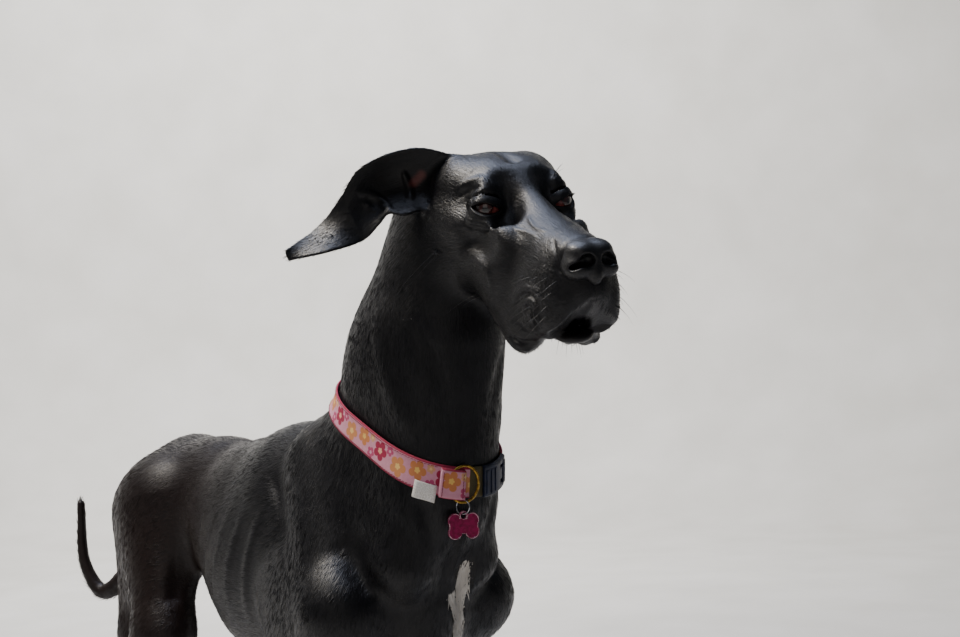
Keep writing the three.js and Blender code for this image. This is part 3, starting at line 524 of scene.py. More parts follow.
@dataclass(frozen=True)
class Paw:
    """A paw: a broad palm on its heel pad, and four arched toes."""

    ahead: float
    aside: float
    spread: float
    length: float
    toe: float
    palm: tuple[float, float, float]
    PLACES = (-1.5, -0.5, 0.5, 1.5)

    def toe_line(self, s: int, place: float) -> dict[str, np.ndarray]:
        """Where one toe's root, knuckle, tip and pad are."""
        reach = self.length + (12 if abs(place) < 1 else 0)
        aside = s * self.aside + place * self.spread
        return {
            "root": at(aside - place * 5, self.ahead - 2, 42),
            "knuckle": at(aside, self.ahead + reach * 0.56, 40),
            "tip": at(aside + place * 1.5, self.ahead + reach, 17),
            "pad": at(aside, self.ahead + reach * 0.72, 11),
        }

    def forms(self, s: int) -> list[Form]:
        """Palm, heel pad, toes and toe pads."""
        parts: list[Form] = [
            Lobe(at(s * self.aside, self.ahead - 6, 40), self.palm, 18),
            Lobe(at(s * self.aside, self.ahead - 10, 12), (self.palm[0] * 0.78, 28, 17), 8),
        ]
        for place in self.PLACES:
            toe = self.toe_line(s, place)
            parts.append(Bone(toe["root"], self.toe, toe["knuckle"], self.toe, 7))
            parts.append(Bone(toe["knuckle"], self.toe, toe["tip"], self.toe - 3, 5))
            parts.append(Lobe(toe["pad"], (12, 21, 15), 5))
        return parts


PAWS = {
    "fore": Paw(262, 93, 20, 49, 16, (37, 40, 34)),
    "hind": Paw(-388, 103, 18.5, 46, 15, (33, 38, 31)),
}


class Spline:
    """A smooth line through points, by the centripetal Catmull-Rom rule."""

    def __init__(self, points: Sequence[Sequence[float]]):
        p = np.array(points, float)
        self.points = np.concatenate([[2 * p[0] - p[1]], p, [2 * p[-1] - p[-2]]])
        self.count = len(p) - 1

    def at(self, t: np.ndarray | float) -> np.ndarray:
        """Places along the line for t from 0 to 1, in equal steps of its spans."""
        t = np.atleast_1d(np.asarray(t, float)) * self.count
        i = np.clip(t.astype(int), 0, self.count - 1)
        u = t - i
        p0, p1, p2, p3 = (self.points[i + n] for n in range(4))
        spans = ((p0, p1), (p1, p2), (p2, p3))
        knots = [np.maximum(np.linalg.norm(b - a, axis=-1) ** 0.5, 1e-6) for a, b in spans]
        d0, d1, d2 = (k[:, None] for k in knots)
        m1 = ((p1 - p0) / d0 - (p2 - p0) / (d0 + d1) + (p2 - p1) / d1) * d1
        m2 = ((p2 - p1) / d1 - (p3 - p1) / (d1 + d2) + (p3 - p2) / d2) * d1
        u = u[:, None]
        c2 = -3 * p1 + 3 * p2 - 2 * m1 - m2
        c3 = 2 * p1 - 2 * p2 + m1 + m2
        return p1 + m1 * u + c2 * u**2 + c3 * u**3

    def along(self, t: np.ndarray | float) -> np.ndarray:
        """Directions along the line."""
        t = np.atleast_1d(np.asarray(t, float))
        return unit(self.at(np.minimum(t + 1e-3, 1)) - self.at(np.maximum(t - 1e-3, 0)))


TAIL_LINE = Spline(
    [
        at(0, -340, 694),
        at(-3, -404, 666),
        at(-14, -464, 590),
        at(-36, -518, 514),
        at(-62, -562, 484),
        at(-82, -588, 530),
        at(-86, -592, 632),
    ]
)


def tail_forms() -> list[Form]:
    """The tail as links along its line, thinner towards its tip; its root blends far into the croup."""
    links = 40
    share = np.linspace(0, 1, links + 1)
    ends = TAIL_LINE.at(share)
    radii = 32 + (8 - 32) * share**0.7
    blends = 1 + 29 * np.maximum(0, 1 - share / 0.24) ** 2
    return [Bone(ends[i], radii[i], ends[i + 1], radii[i + 1], blends[i]) for i in range(links)]


def head_forms() -> list[Form]:
    """Skull, brows, cheeks, muzzle, flews and lower jaw's root."""

    def side(s: int) -> list[Form]:
        return [
            head_lobe((s * 23, -42, 22), (28, 50, 27), 18),
            head_lobe((s * 36, -6, 20), (17, 22, 14), 12),
            head_lobe((s * 41, -3, 1), (19, 18, 19), 16),
            head_lobe((s * 45, -88, 12), (27, 62, 38), 20),
            head_bone((s * 54, -8, -22), 14, (s * 65, -74, -18), 15, 22),
            head_lobe((s * 49, -62, -48), (26, 54, 50), 24),
            head_lobe((s * 41, 30, -30), (20, 40, 24), 22),
            head_lobe((s * 40, 14, -66), (25, 62, 44), 26),
            head_lobe((s * 27, 124, -80), (20, 48, 38), 16),
            head_lobe((s * 32, 84, -100), (18, 46, 40), 18),
            head_lobe((s * 36, 74, -128), (16, 27, 23), 12),
            head_lobe((s * 27, 134, -103), (15, 28, 21), 14),
            head_lobe((s * 32, 46, -112), (20, 52, 28), 22),
        ]

    return [
        head_lobe((0, -74, 5), (60, 88, 50), 30),
        *both(side),
        head_bone((0, -16, 14), 25, (0, 84, -27), 20, 18, 0.84),
        head_bone((0, 10, -30), 30, (0, 148, -35), 24, 22, 1.25),
        head_lobe((0, 84, -58), (40, 92, 42), 24),
        head_lobe((0, 148, -70), (27, 34, 27), 16),
        head_bone((0, -60, -84), 38, (0, 40, -104), 26, 26),
    ]


def head_hollows() -> list[Form]:
    """The dips beside the stop, the brow's furrow, the cheek, and the open lips."""

    def side(s: int) -> list[Form]:
        return [
            head_bone((s * 30, 12, 34), 8, (s * 34, 34, -12), 10, 19),
            head_lobe((s * 68, 28, -34), (12, 34, 13), 18),
        ]

    return [
        *both(side),
        *mouth_gaps(),
        head_bone((0, -84, 62), 2, (0, -24, 50), 2, 10),
        head_bone((0, 158, -152), 22, (0, 70, -158), 20, 12),
    ]


def mouth_gaps() -> list[Form]:
    """The gap between the flews, one leg a side, that opens downwards from under the nose."""
    return both(lambda s: [head_bone((s * 3.5, 184, -82), 6.5, (s * 20, 158, -128), 25, 4)])


def jaw_forms() -> list[Form]:
    """The lower jaw between the flews."""
    return [
        head_bone((0, 20, -108), 24, (0, 100, -120), 15, 8, 1.2),
        head_lobe((0, 127, -124), (22, 21, 10), 6),
    ]


def nose_forms() -> list[Form]:
    """The bare nose pad with its two wings."""
    return [
        head_lobe((1, 160, -36), (26, 26, 21), 1),
        head_lobe((1, 177, -49), (9, 12, 13), 5),
        *both(lambda s: [head_lobe((1 + s * 11, 165, -26), (14, 19, 10), 6)]),
        *both(lambda s: [head_lobe((1 + s * 17, 168, -43), (13.5, 20, 14), 8)]),
    ]


def body_field() -> Field:
    """The whole dog's flesh."""
    forms = [
        *trunk_forms(),
        *neck_forms(),
        *both(foreleg_forms),
        *both(hindleg_forms),
        *both(lambda s: [form for paw in PAWS.values() for form in paw.forms(s)]),
        *tail_forms(),
        *head_forms(),
    ]
    return Field(forms, head_hollows(), jaw_forms())


@dataclass(frozen=True)
class Ridge:
    """A soft raised line on the skin, such as a vein or fold; with a height below 0 it is a furrow."""

    line: np.ndarray
    height: float
    width: float

    @property
    def centre(self) -> np.ndarray:
        """The middle of the line's box."""
        return (self.line.min(0) + self.line.max(0)) / 2

    @property
    def reach(self) -> float:
        """How far from its middle it still changes the skin."""
        return float(np.linalg.norm(self.line.max(0) - self.line.min(0))) / 2 + 2.4 * self.width

    def amount(self, points: np.ndarray) -> np.ndarray:
        """Millimetres by which it raises the skin at points; it fades out towards both ends."""
        nearest = np.full(len(points), np.inf)
        place = np.zeros(len(points))
        spans = len(self.line) - 1
        for i in range(spans):
            a, b = self.line[i], self.line[i + 1]
            t = np.clip((points - a) @ (b - a) / ((b - a) @ (b - a)), 0, 1)
            gap = ((points - a - t[:, None] * (b - a)) ** 2).sum(1)
            closer = gap < nearest
            nearest = np.where(closer, gap, nearest)
            place = np.where(closer, (i + t) / spans, place)
        ends = smooth_step(np.minimum(place, 1 - place) * 4 + 0.12)
        return self.height * ends * np.exp(-nearest / self.width**2)


def curve_through(places: Sequence[np.ndarray], steps: int = 10) -> np.ndarray:
    """Points on a smooth line through places."""
    return Spline(places).at(np.linspace(0, 1, steps + 1))


def head_ridge(height: float, width: float, *places: tuple[float, float, float]) -> list[Ridge]:
    """A fold of the head given on the right side, with its mirror image."""
    lines = [[in_head(-s * x, y, z) for x, y, z in places] for s in SIDES]
    return [Ridge(curve_through(line), height, width) for line in lines]


def body_ridge(height: float, width: float, *places: tuple[float, float, float]) -> list[Ridge]:
    """A line of a muscle, rib or vein given on the right side, with its mirror image."""
    lines = [[at(-s * x, y, z) for x, y, z in places] for s in SIDES]
    return [Ridge(curve_through(line), height, width) for line in lines]


def face_folds() -> list[Ridge]:
    """Folds of the brows, lids, cheeks and mouth corners, and the wart with its bristles."""
    return [
        *head_ridge(
            3.6, 3.2, (-50, 98, -91), (-47, 122, -82), (-46, 134, -87), (-46, 133, -96), (-43, 145, -105)
        ),
        *head_ridge(
            -3.4, 2.6, (-50, 104, -97), (-47, 120, -91), (-46, 126, -97), (-45, 129, -104), (-42, 138, -111)
        ),
        *head_ridge(
            3.0, 3.6, (-51, 79, -92), (-49, 95, -77), (-48, 112, -70), (-46, 134, -70), (-43, 149, -74)
        ),
        *head_ridge(-3.0, 2.8, (-51, 88, -94), (-49, 103, -82), (-47, 118, -76), (-45, 136, -77)),
        *head_ridge(2.6, 3.2, (-49, 108, -108), (-46, 120, -112), (-41, 132, -118)),
        *head_ridge(-2.8, 2.6, (-50, 98, -112), (-46, 112, -118), (-40, 124, -124)),
        *head_ridge(2.8, 4.2, (-53, 68, -132), (-49, 82, -139), (-43, 94, -141), (-36, 96, -145)),
        *head_ridge(-3.2, 2.6, (-53, 76, -126), (-49, 88, -131), (-43, 102, -132), (-37, 112, -130)),
        *head_ridge(-1.7, 2.6, (-65, -26, 0), (-61, -13, 10), (-54, 0, 16), (-45, 9, 18.5), (-34, 11, 13)),
        *head_ridge(1.3, 3.0, (-65, -12, -9), (-61, 4, -12), (-52, 17, -13), (-41, 22, -10)),
        *head_ridge(-1.6, 3.0, (-65, -14, -17), (-60, 6, -20), (-52, 22, -21), (-42, 31, -18)),
        *head_ridge(1.9, 4.6, (-64, -43, 18), (-56, -30, 26), (-47, -15, 32), (-39, 2, 27), (-35, 7, 19)),
        *head_ridge(-1.6, 3.6, (-65, -41, 8), (-58, -26, 17), (-52, -8, 22), (-44, 4, 22)),
        *head_ridge(1.6, 7.0, (-63, -7, -46), (-62, 20, -55), (-61, 41, -67), (-59, 40, -84), (-53, 9, -107)),
        *head_ridge(-1.6, 2.6, (-24, 131, -17), (-28, 148, -26), (-30, 158, -38), (-31, 163, -52)),
        *head_ridge(1.0, 2.6, (-38, 60, -14), (-31, 86, -17), (-27, 110, -23)),
        *head_ridge(0.9, 2.4, (-20, 58, -2), (-25, 88, -10), (-21, 114, -13)),
        *head_ridge(3.4, 4.0, (-81, -59, -52), (-81, -60, -56)),
        *head_ridge(-2.2, 1.6, (0, 183, -57), (0, 184, -68), (0, 182, -77)),
    ]


def ear_folds() -> list[Ridge]:
    """The rolled fold inside the right ear, which the wind has opened."""
    inner_turn = [(-129, -116, 4), (-126, -102, -3), (-126, -90, -8)]
    folds = [
        (5.2, 3.6, [(-155, -122, 10), (-146, -123, 13), (-138, -122, 10), *inner_turn]),
        (3.4, 2.6, [(-149, -120, 3), (-143, -116, -3), (-139, -110, -9)]),
        (4.0, 4.0, [(-104, -112, 38), (-98, -114, 26), (-96, -108, 12), (-100, -96, 2)]),
        (1.4, 3.0, [(-174, -116, -22), (-170, -118, -2), (-160, -121, 12), (-146, -124, 26)]),
    ]
    return [Ridge(curve_through([in_head(*p) for p in line]), height, width) for height, width, line in folds]


def body_lines() -> list[Ridge]:
    """Muscles, ribs, tendons and veins that show under the short coat."""
    lines = [
        *body_ridge(
            6, 20, (-84, 283, 718), (-77, 334, 665), (-58, 376, 637), (-50, 374, 600), (-44, 372, 550)
        ),
        *body_ridge(-5, 11, (-52, 424, 697), (-42, 423, 662), (-24, 397, 617), (-20, 386, 574)),
        *body_ridge(-4, 14, (-104, 316, 640), (-94, 340, 606), (-84, 352, 560)),
        *body_ridge(-3.5, 12, (-80, 110, 712), (-100, 172, 655), (-118, 214, 600)),
        *body_ridge(3, 10, (-66, 205, 738), (-94, 262, 650), (-104, 306, 578)),
        *body_ridge(-3.5, 9, (-117, 300, 610), (-122, 264, 560), (-120, 236, 505)),
        *body_ridge(-6, 13, (-92, -140, 610), (-98, -168, 545), (-104, -182, 498)),
        *body_ridge(-3, 10, (-124, -214, 640), (-122, -246, 580), (-116, -276, 520), (-110, -302, 462)),
        *body_ridge(1.1, 3.6, (-112, 206, 410), (-113, 216, 340), (-106, 226, 260)),
        *body_ridge(1.0, 3.2, (-92, 334, 640), (-102, 306, 600), (-112, 282, 552)),
        *body_ridge(-2, 6, (-118, -340, 360), (-116, -392, 300), (-112, -424, 262)),
        *body_ridge(3.5, 15, (-66, 380, 935), (-76, 385, 873), (-74, 402, 810), (-64, 428, 750)),
        *body_ridge(-3.5, 11, (-56, 428, 905), (-47, 450, 850), (-38, 460, 800), (-34, 460, 752)),
        *body_ridge(1.0, 3.0, (-62, 300, 780), (-88, 290, 720), (-98, 272, 668)),
    ]
    for ahead in (118, 74, 30, -14, -58):
        lines += body_ridge(1.7, 8, (-96, ahead, 668), (-114, ahead - 26, 590), (-104, ahead - 44, 500))
    lines.append(Ridge(curve_through([at(2, 442, 668), at(5, 424, 620), at(6, 398, 576)]), 4, 9))
    middle = [at(22, 410, 614), at(26, 388, 575), at(30, 372, 540), at(30, 350, 500)]
    lines.append(Ridge(curve_through(middle), -6, 9))
    return lines


class Leaf:
    """A curved thin leaf between two edge lines, dipping between them, as an ear is."""

    STEPS = 60
    ACROSS = 30

    def __init__(self, edges: Sequence[Spline], cup: Callable, behind: np.ndarray, half: float, blend: float):
        self.edges = edges
        self.cup = cup
        self.behind = behind
        self.half = half
        self.blend = blend
        shares = (np.linspace(0, 1, steps + 1) for steps in (self.STEPS, self.ACROSS))
        t, v = np.meshgrid(*shares, indexing="ij")
        self.t, self.v = t.ravel(), v.ravel()
        self.points = self.place(self.t, self.v)
        row = self.ACROSS + 1
        i, j = np.meshgrid(np.arange(self.STEPS), np.arange(self.ACROSS), indexing="ij")
        p = (i * row + j).ravel()
        self.quads = np.stack([p, p + row, p + row + 1, p + 1], 1)
        vectors = [Vector(p) for p in self.points]
        self.tree = BVHTree.FromPolygons(vectors, self.quads.tolist())
        low, high = self.points.min(0), self.points.max(0)
        self.centre = (low + high) / 2
        self.reach = float(np.linalg.norm(self.points - self.centre, axis=1).max()) + half

    def place(self, t: np.ndarray, v: np.ndarray) -> np.ndarray:
        """Places in the leaf's middle layer, t along it and v across."""
        a, b = (edge.at(t) for edge in self.edges)
        return a + (b - a) * v[:, None] + self.behind * self.cup(t, v)[:, None]

    def distance(self, points: np.ndarray) -> np.ndarray:
        """Distances of points from its surface."""
        out = np.empty(len(points))
        low, high = self.points.min(0) - 30, self.points.max(0) + 30
        near = ((points > low) & (points < high)).all(1)
        out[~near] = 28.0
        find = self.tree.find_nearest
        out[near] = [find(p)[3] for p in points[near].tolist()]
        out[near] -= self.half
        return out

    def nearest(self, points: np.ndarray) -> tuple[np.ndarray, np.ndarray]:
        """For points, how far they lie from the middle layer, on which side of it, and where across it.

        Returns:
            Signed distances, positive on the front, and the places as t and v.
        """
        found = [self.tree.find_nearest(p) for p in points.tolist()]
        gap = np.array([f[3] for f in found])
        normal = np.array([f[1] for f in found])
        foot = np.array([f[0] for f in found])
        index = np.array([f[2] for f in found])
        sign = np.sign(((points - foot) * normal).sum(1))
        corner = self.quads[index, 0]
        return gap * sign, np.stack([self.t[corner], self.v[corner]], 1)


EAR_ROOT = in_head(-50, -85, 46)
WIND = math.radians(35.3)
EAR_HALF = 1.9


def blown(out: float, up: float, behind: float) -> np.ndarray:
    """A place by the right ear: out along the wind, up, and behind the ear."""
    aside = -out * math.cos(WIND) + behind * math.sin(WIND)
    ahead = -out * math.sin(WIND) - behind * math.cos(WIND)
    return EAR_ROOT + at(aside, ahead, up)


def right_ear() -> Leaf:
    """The right ear, blown out and back so that its cup faces ahead."""
    upper = [(-18, -2, 10), (8, 8, 2), (37, 15, 0), (76, 9, 0), (110, -9, 0), (129, -36, 8)]
    upper += [(156, -67, 20), (195, -98, 0)]
    lower = [(14, -62, 14), (38, -56, -2), (58, -61, -10), (76, -58, -6), (88, -70, -2), (106, -86, 2)]
    lower += [(146, -100, -12), (192, -107, 0)]
    return Leaf(
        [Spline([blown(*p) for p in line]) for line in (upper, lower)],
        lambda t, v: np.sin(np.pi * v) * 24 * np.sin(np.pi * np.minimum(1, t * 1.25 + 0.1)),
        blown(0, 0, 1) - EAR_ROOT,
        EAR_HALF + COAT_DEPTH,
        9,
    )


def left_ear() -> Leaf:
    """The left ear, lying back and down beside the neck."""
    front = [(40, -84, 30), (56, -84, 36), (70, -88, 28), (81, -98, 6), (86, -112, -20), (86, -132, -46)]
    front += [(84, -164, -72)]
    rear = [(34, -122, 22), (52, -128, 30), (66, -136, 22), (76, -150, -2), (80, -164, -26), (80, -176, -50)]
    rear += [(80, -182, -76)]
    return Leaf(
        [Spline([in_head(*p) for p in line]) for line in (front, rear)],
        lambda t, v: np.sin(np.pi * v) * 7,
        in_head(1, 0, 0) - in_head(0, 0, 0),
        EAR_HALF + COAT_DEPTH,
        9,
    )


class Origin:
    """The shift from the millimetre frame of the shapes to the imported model's frame."""

    def __init__(self) -> None:
        low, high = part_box("eye_left")
        middle = (np.array(low) + np.array(high)) / 2
        self.shift = middle / MM - in_head(*EYE_PLACE)
        self.shift[2] = 0.0

    def metres(self, points: np.ndarray) -> np.ndarray:
        """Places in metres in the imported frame."""
        return (np.asarray(points, float) + self.shift) * MM


ORIGIN: Origin


def new_object(name: str, mesh: Mesh) -> Object:
    """An object at the origin that shows a mesh."""
    piece = bpy.data.objects.new(name, mesh)
    bpy.context.scene.collection.objects.link(piece)
    return piece


def mesh_of(name: str, points: np.ndarray, faces, normals: np.ndarray | None = None) -> Mesh:
    """A smooth mesh from points in millimetres.

    Args:
        name: the mesh's name.
        points: N by 3.
        faces: rows of three or four point numbers, or a list of lists.
        normals: one outward normal a point, if the mesh has its own.
    """
    mesh = bpy.data.meshes.new(name)
    rows = faces.tolist() if isinstance(faces, np.ndarray) else faces
    mesh.from_pydata(ORIGIN.metres(points).tolist(), [], rows)
    mesh.polygons.foreach_set("use_smooth", np.ones(len(mesh.polygons), bool))
    if normals is not None:
        mesh.normals_split_custom_set_from_vertices(normals.tolist())
    mesh.update()
    return mesh


def give(mesh: Mesh, name: str, values: np.ndarray, domain: str = "POINT") -> None:
    """Stores values on a mesh as a named attribute, numbers or vectors."""
    kind, key = ("FLOAT_VECTOR", "vector") if values.ndim == 2 else ("FLOAT", "value")
    layer = mesh.attributes.new(name, kind, domain)
    layer.data.foreach_set(key, np.ascontiguousarray(values, np.float32).ravel())


class Lie:
    """Which way the hair lies: strokes along the body, each weighted by how near it is."""

    def __init__(self, strokes: Sequence[tuple[np.ndarray, np.ndarray, float]]):
        self.a = np.array([s[0] for s in strokes])
        self.b = np.array([s[1] for s in strokes])
        self.reach = np.array([s[2] for s in strokes])
        self.along = unit(self.b - self.a)

    def direction(self, points: np.ndarray, normals: np.ndarray) -> np.ndarray:
        """Unit directions in the skin, for points with their normals."""
        result = np.empty_like(points)
        axis = self.b - self.a
        square = (axis**2).sum(1)
        for start in range(0, len(points), 8000):
            p = points[start : start + 8000]
            d = p[:, None] - self.a[None]
            t = np.clip((d * axis).sum(2) / square, 0, 1)
            gap = np.linalg.norm(d - t[..., None] * axis, axis=2)
            weight = np.exp(-((gap / self.reach) ** 2)) + 1e-9 / (1 + gap)
            mixed = (weight[..., None] * self.along).sum(1)
            n = normals[start : start + 8000]
            mixed -= (mixed * n).sum(1, keepdims=True) * n
            result[start : start + 8000] = mixed
        return unit(result)


def coat_strokes() -> list[tuple[np.ndarray, np.ndarray, float]]:
    """The lie of the coat: back from the nose, down the neck, back along the trunk and down the legs."""
    strokes = [
        (at(0, 250, 790), at(0, 60, 745), 70),
        (at(0, 60, 745), at(0, -180, 745), 70),
        (at(0, -180, 745), at(0, -330, 700), 70),
        (at(0, 180, 430), at(0, -60, 470), 60),
        (at(0, -60, 470), at(0, -220, 560), 60),
        (at(0, 400, 640), at(0, 360, 520), 60),
        (at(0, 350, 500), at(0, 250, 430), 60),
        (in_head(0, 150, -20), in_head(0, 60, -5), 26),
        (in_head(0, 40, 10), in_head(0, -60, 62), 34),
        (in_head(0, -60, 62), in_head(0, -150, 30), 40),
        (in_head(0, 130, -140), in_head(0, 20, -140), 30),
        (in_head(0, 0, -130), in_head(0, -90, -110), 40),
    ]
    for s in SIDES:
        j = joints(s)
        strokes += [
            (at(s * 100, 160, 690), at(s * 118, 10, 630), 70),
            (at(s * 118, 40, 560), at(s * 112, -160, 590), 70),
            (at(s * 100, 120, 470), at(s * 90, -40, 470), 60),
            (at(s * 60, 210, 740), at(s * 96, 260, 620), 52),
            (at(s * 96, 290, 600), at(s * 104, 230, 500), 50),
            (j["elbow"], j["wrist"], 55),
            (j["wrist"], at(s * 93, 250, 60), 45),
            (at(s * 93, 240, 60), at(s * 93, 320, 20), 30),
            (at(s * 70, -230, 720), at(s * 100, -330, 600), 60),
            (at(s * 108, -250, 600), at(s * 108, -260, 470), 60),
            (at(s * 95, -360, 590), at(s * 104, -380, 400), 50),
            (j["knee"], j["hock"], 50),
            (j["hock"], j["hind_fetlock"], 45),
            (at(s * 103, -400, 60), at(s * 103, -335, 20), 30),
            (at(s * 60, 330, 900), at(s * 70, 270, 760), 60),
            (at(s * 50, 400, 860), at(s * 60, 400, 740), 50),
            (at(s * 40, 440, 700), at(s * 50, 390, 560), 50),
            (in_head(s * 26, 140, -60), in_head(s * 38, 60, -60), 26),
            (in_head(s * 30, 120, -100), in_head(s * 46, 40, -100), 26),
            (in_head(s * 40, 40, -30), in_head(s * 56, -10, -25), 26),
            (in_head(s * 56, -20, -40), in_head(s * 76, -100, -60), 34),
            (in_head(s * 30, 20, 20), in_head(s * 44, -60, 50), 24),
            (in_head(s * 60, -10, 5), in_head(s * 70, -70, 20), 24),
        ]
    ends = TAIL_LINE.at(np.linspace(0, 1, 9))
    strokes += [(ends[i], ends[i + 1], 40) for i in range(8)]
    strokes.append((blown(20, -20, 0), blown(190, -100, 0), 40))
    strokes.append((in_head(60, -80, 40), in_head(88, -110, -40), 22))
    strokes.append((in_head(88, -110, -40), in_head(86, -156, -68), 22))
    return strokes


class Patches:
    """Overlapping patches of the coat, each with the axes of its own lie, that carry the hair's pattern."""

    def __init__(self, points: np.ndarray, along: np.ndarray, normals: np.ndarray, spacing: float, seed: int):
        rng = np.random.default_rng(seed)
        chosen = [int(rng.integers(len(points)))]
        gap = np.linalg.norm(points - points[chosen[0]], axis=1)
        while gap.max() > spacing or len(chosen) < 3:
            chosen.append(int(np.argmax(gap)))
            gap = np.minimum(gap, np.linalg.norm(points - points[chosen[-1]], axis=1))
        self.spacing = spacing
        self.anchors = points[chosen]
        across = unit(np.cross(normals[chosen], along[chosen]))
        self.axes = np.stack([along[chosen], across, np.cross(along[chosen], across)], 1)
        self.shift = rng.uniform(0, 900, (len(chosen), 3))

    def nearest(self, points: np.ndarray) -> tuple[np.ndarray, np.ndarray]:
        """The nearest anchor of each point, and how much nearer it is than the next one."""
        which = np.empty(len(points), int)
        lead = np.empty(len(points))
        square = (self.anchors**2).sum(1)
        for start in range(0, len(points), 20000):
            p = points[start : start + 20000]
            gap = np.sqrt(np.maximum((p**2).sum(1)[:, None] + square - 2 * p @ self.anchors.T, 0))
            two = np.argpartition(gap, 1, axis=1)[:, :2]
            g = np.take_along_axis(gap, two, 1)
            first = g.argmin(1)
            which[start : start + 20000] = two[np.arange(len(p)), first]
            lead[start : start + 20000] = np.abs(g[:, 0] - g[:, 1])
        return which, lead

    def weights(self, points: np.ndarray) -> np.ndarray:
        """How strongly the patch set shows at points; nothing at its patches' borders."""
        return smooth_step(self.nearest(points)[1] / (self.spacing * 0.5)) + 1e-3

    def corners(self, points: np.ndarray, faces: np.ndarray) -> np.ndarray:
        """Coordinates of each face corner in its patch, along the lie, across it and through it."""
        which = self.nearest(points[faces].mean(1))[0]
        local = points[faces] - self.anchors[which][:, None]
        turned = np.einsum("fij,fcj->fci", self.axes[which], local)
        return (turned + self.shift[which][:, None]).reshape(-1, 3)


def add_node(tree: NodeTree, kind: str, links: dict | None = None, **settings) -> Node:
    """Adds a node.

    Args:
        tree: the node tree that it goes in.
        kind: Blender's own name of the node.
        links: for an input's name or number, the socket that feeds it or the value that it takes.
        settings: the node's own properties.

    Returns:
        The new node.
    """
    made = tree.nodes.new(kind)
    for key, value in settings.items():
        setattr(made, key, value)
    for key, value in (links or {}).items():
        if isinstance(value, NodeSocket):
            tree.links.new(value, made.inputs[key])
        else:
            made.inputs[key].default_value = value
    return made


def ramp_of(node: Node, stops: Sequence[tuple[float, tuple]]) -> Node:
    """Sets the stops of a Color Ramp node, as places and colours."""
    elements = node.color_ramp.elements
    while len(elements) > 1:
        elements.remove(elements[-1])
    elements[0].position, elements[0].color = stops[0]
    for place, colour in stops[1:]:
        elements.new(place).color = colour
    return node


def blank_material(name: str) -> tuple[Material, NodeTree, Node]:
    """A material with its tree and its shader, linked to the output."""
    material = bpy.data.materials.new(name)
    material.use_nodes = True
    tree = material.node_tree
    shader = tree.nodes["Principled BSDF"]
    return material, tree, shader


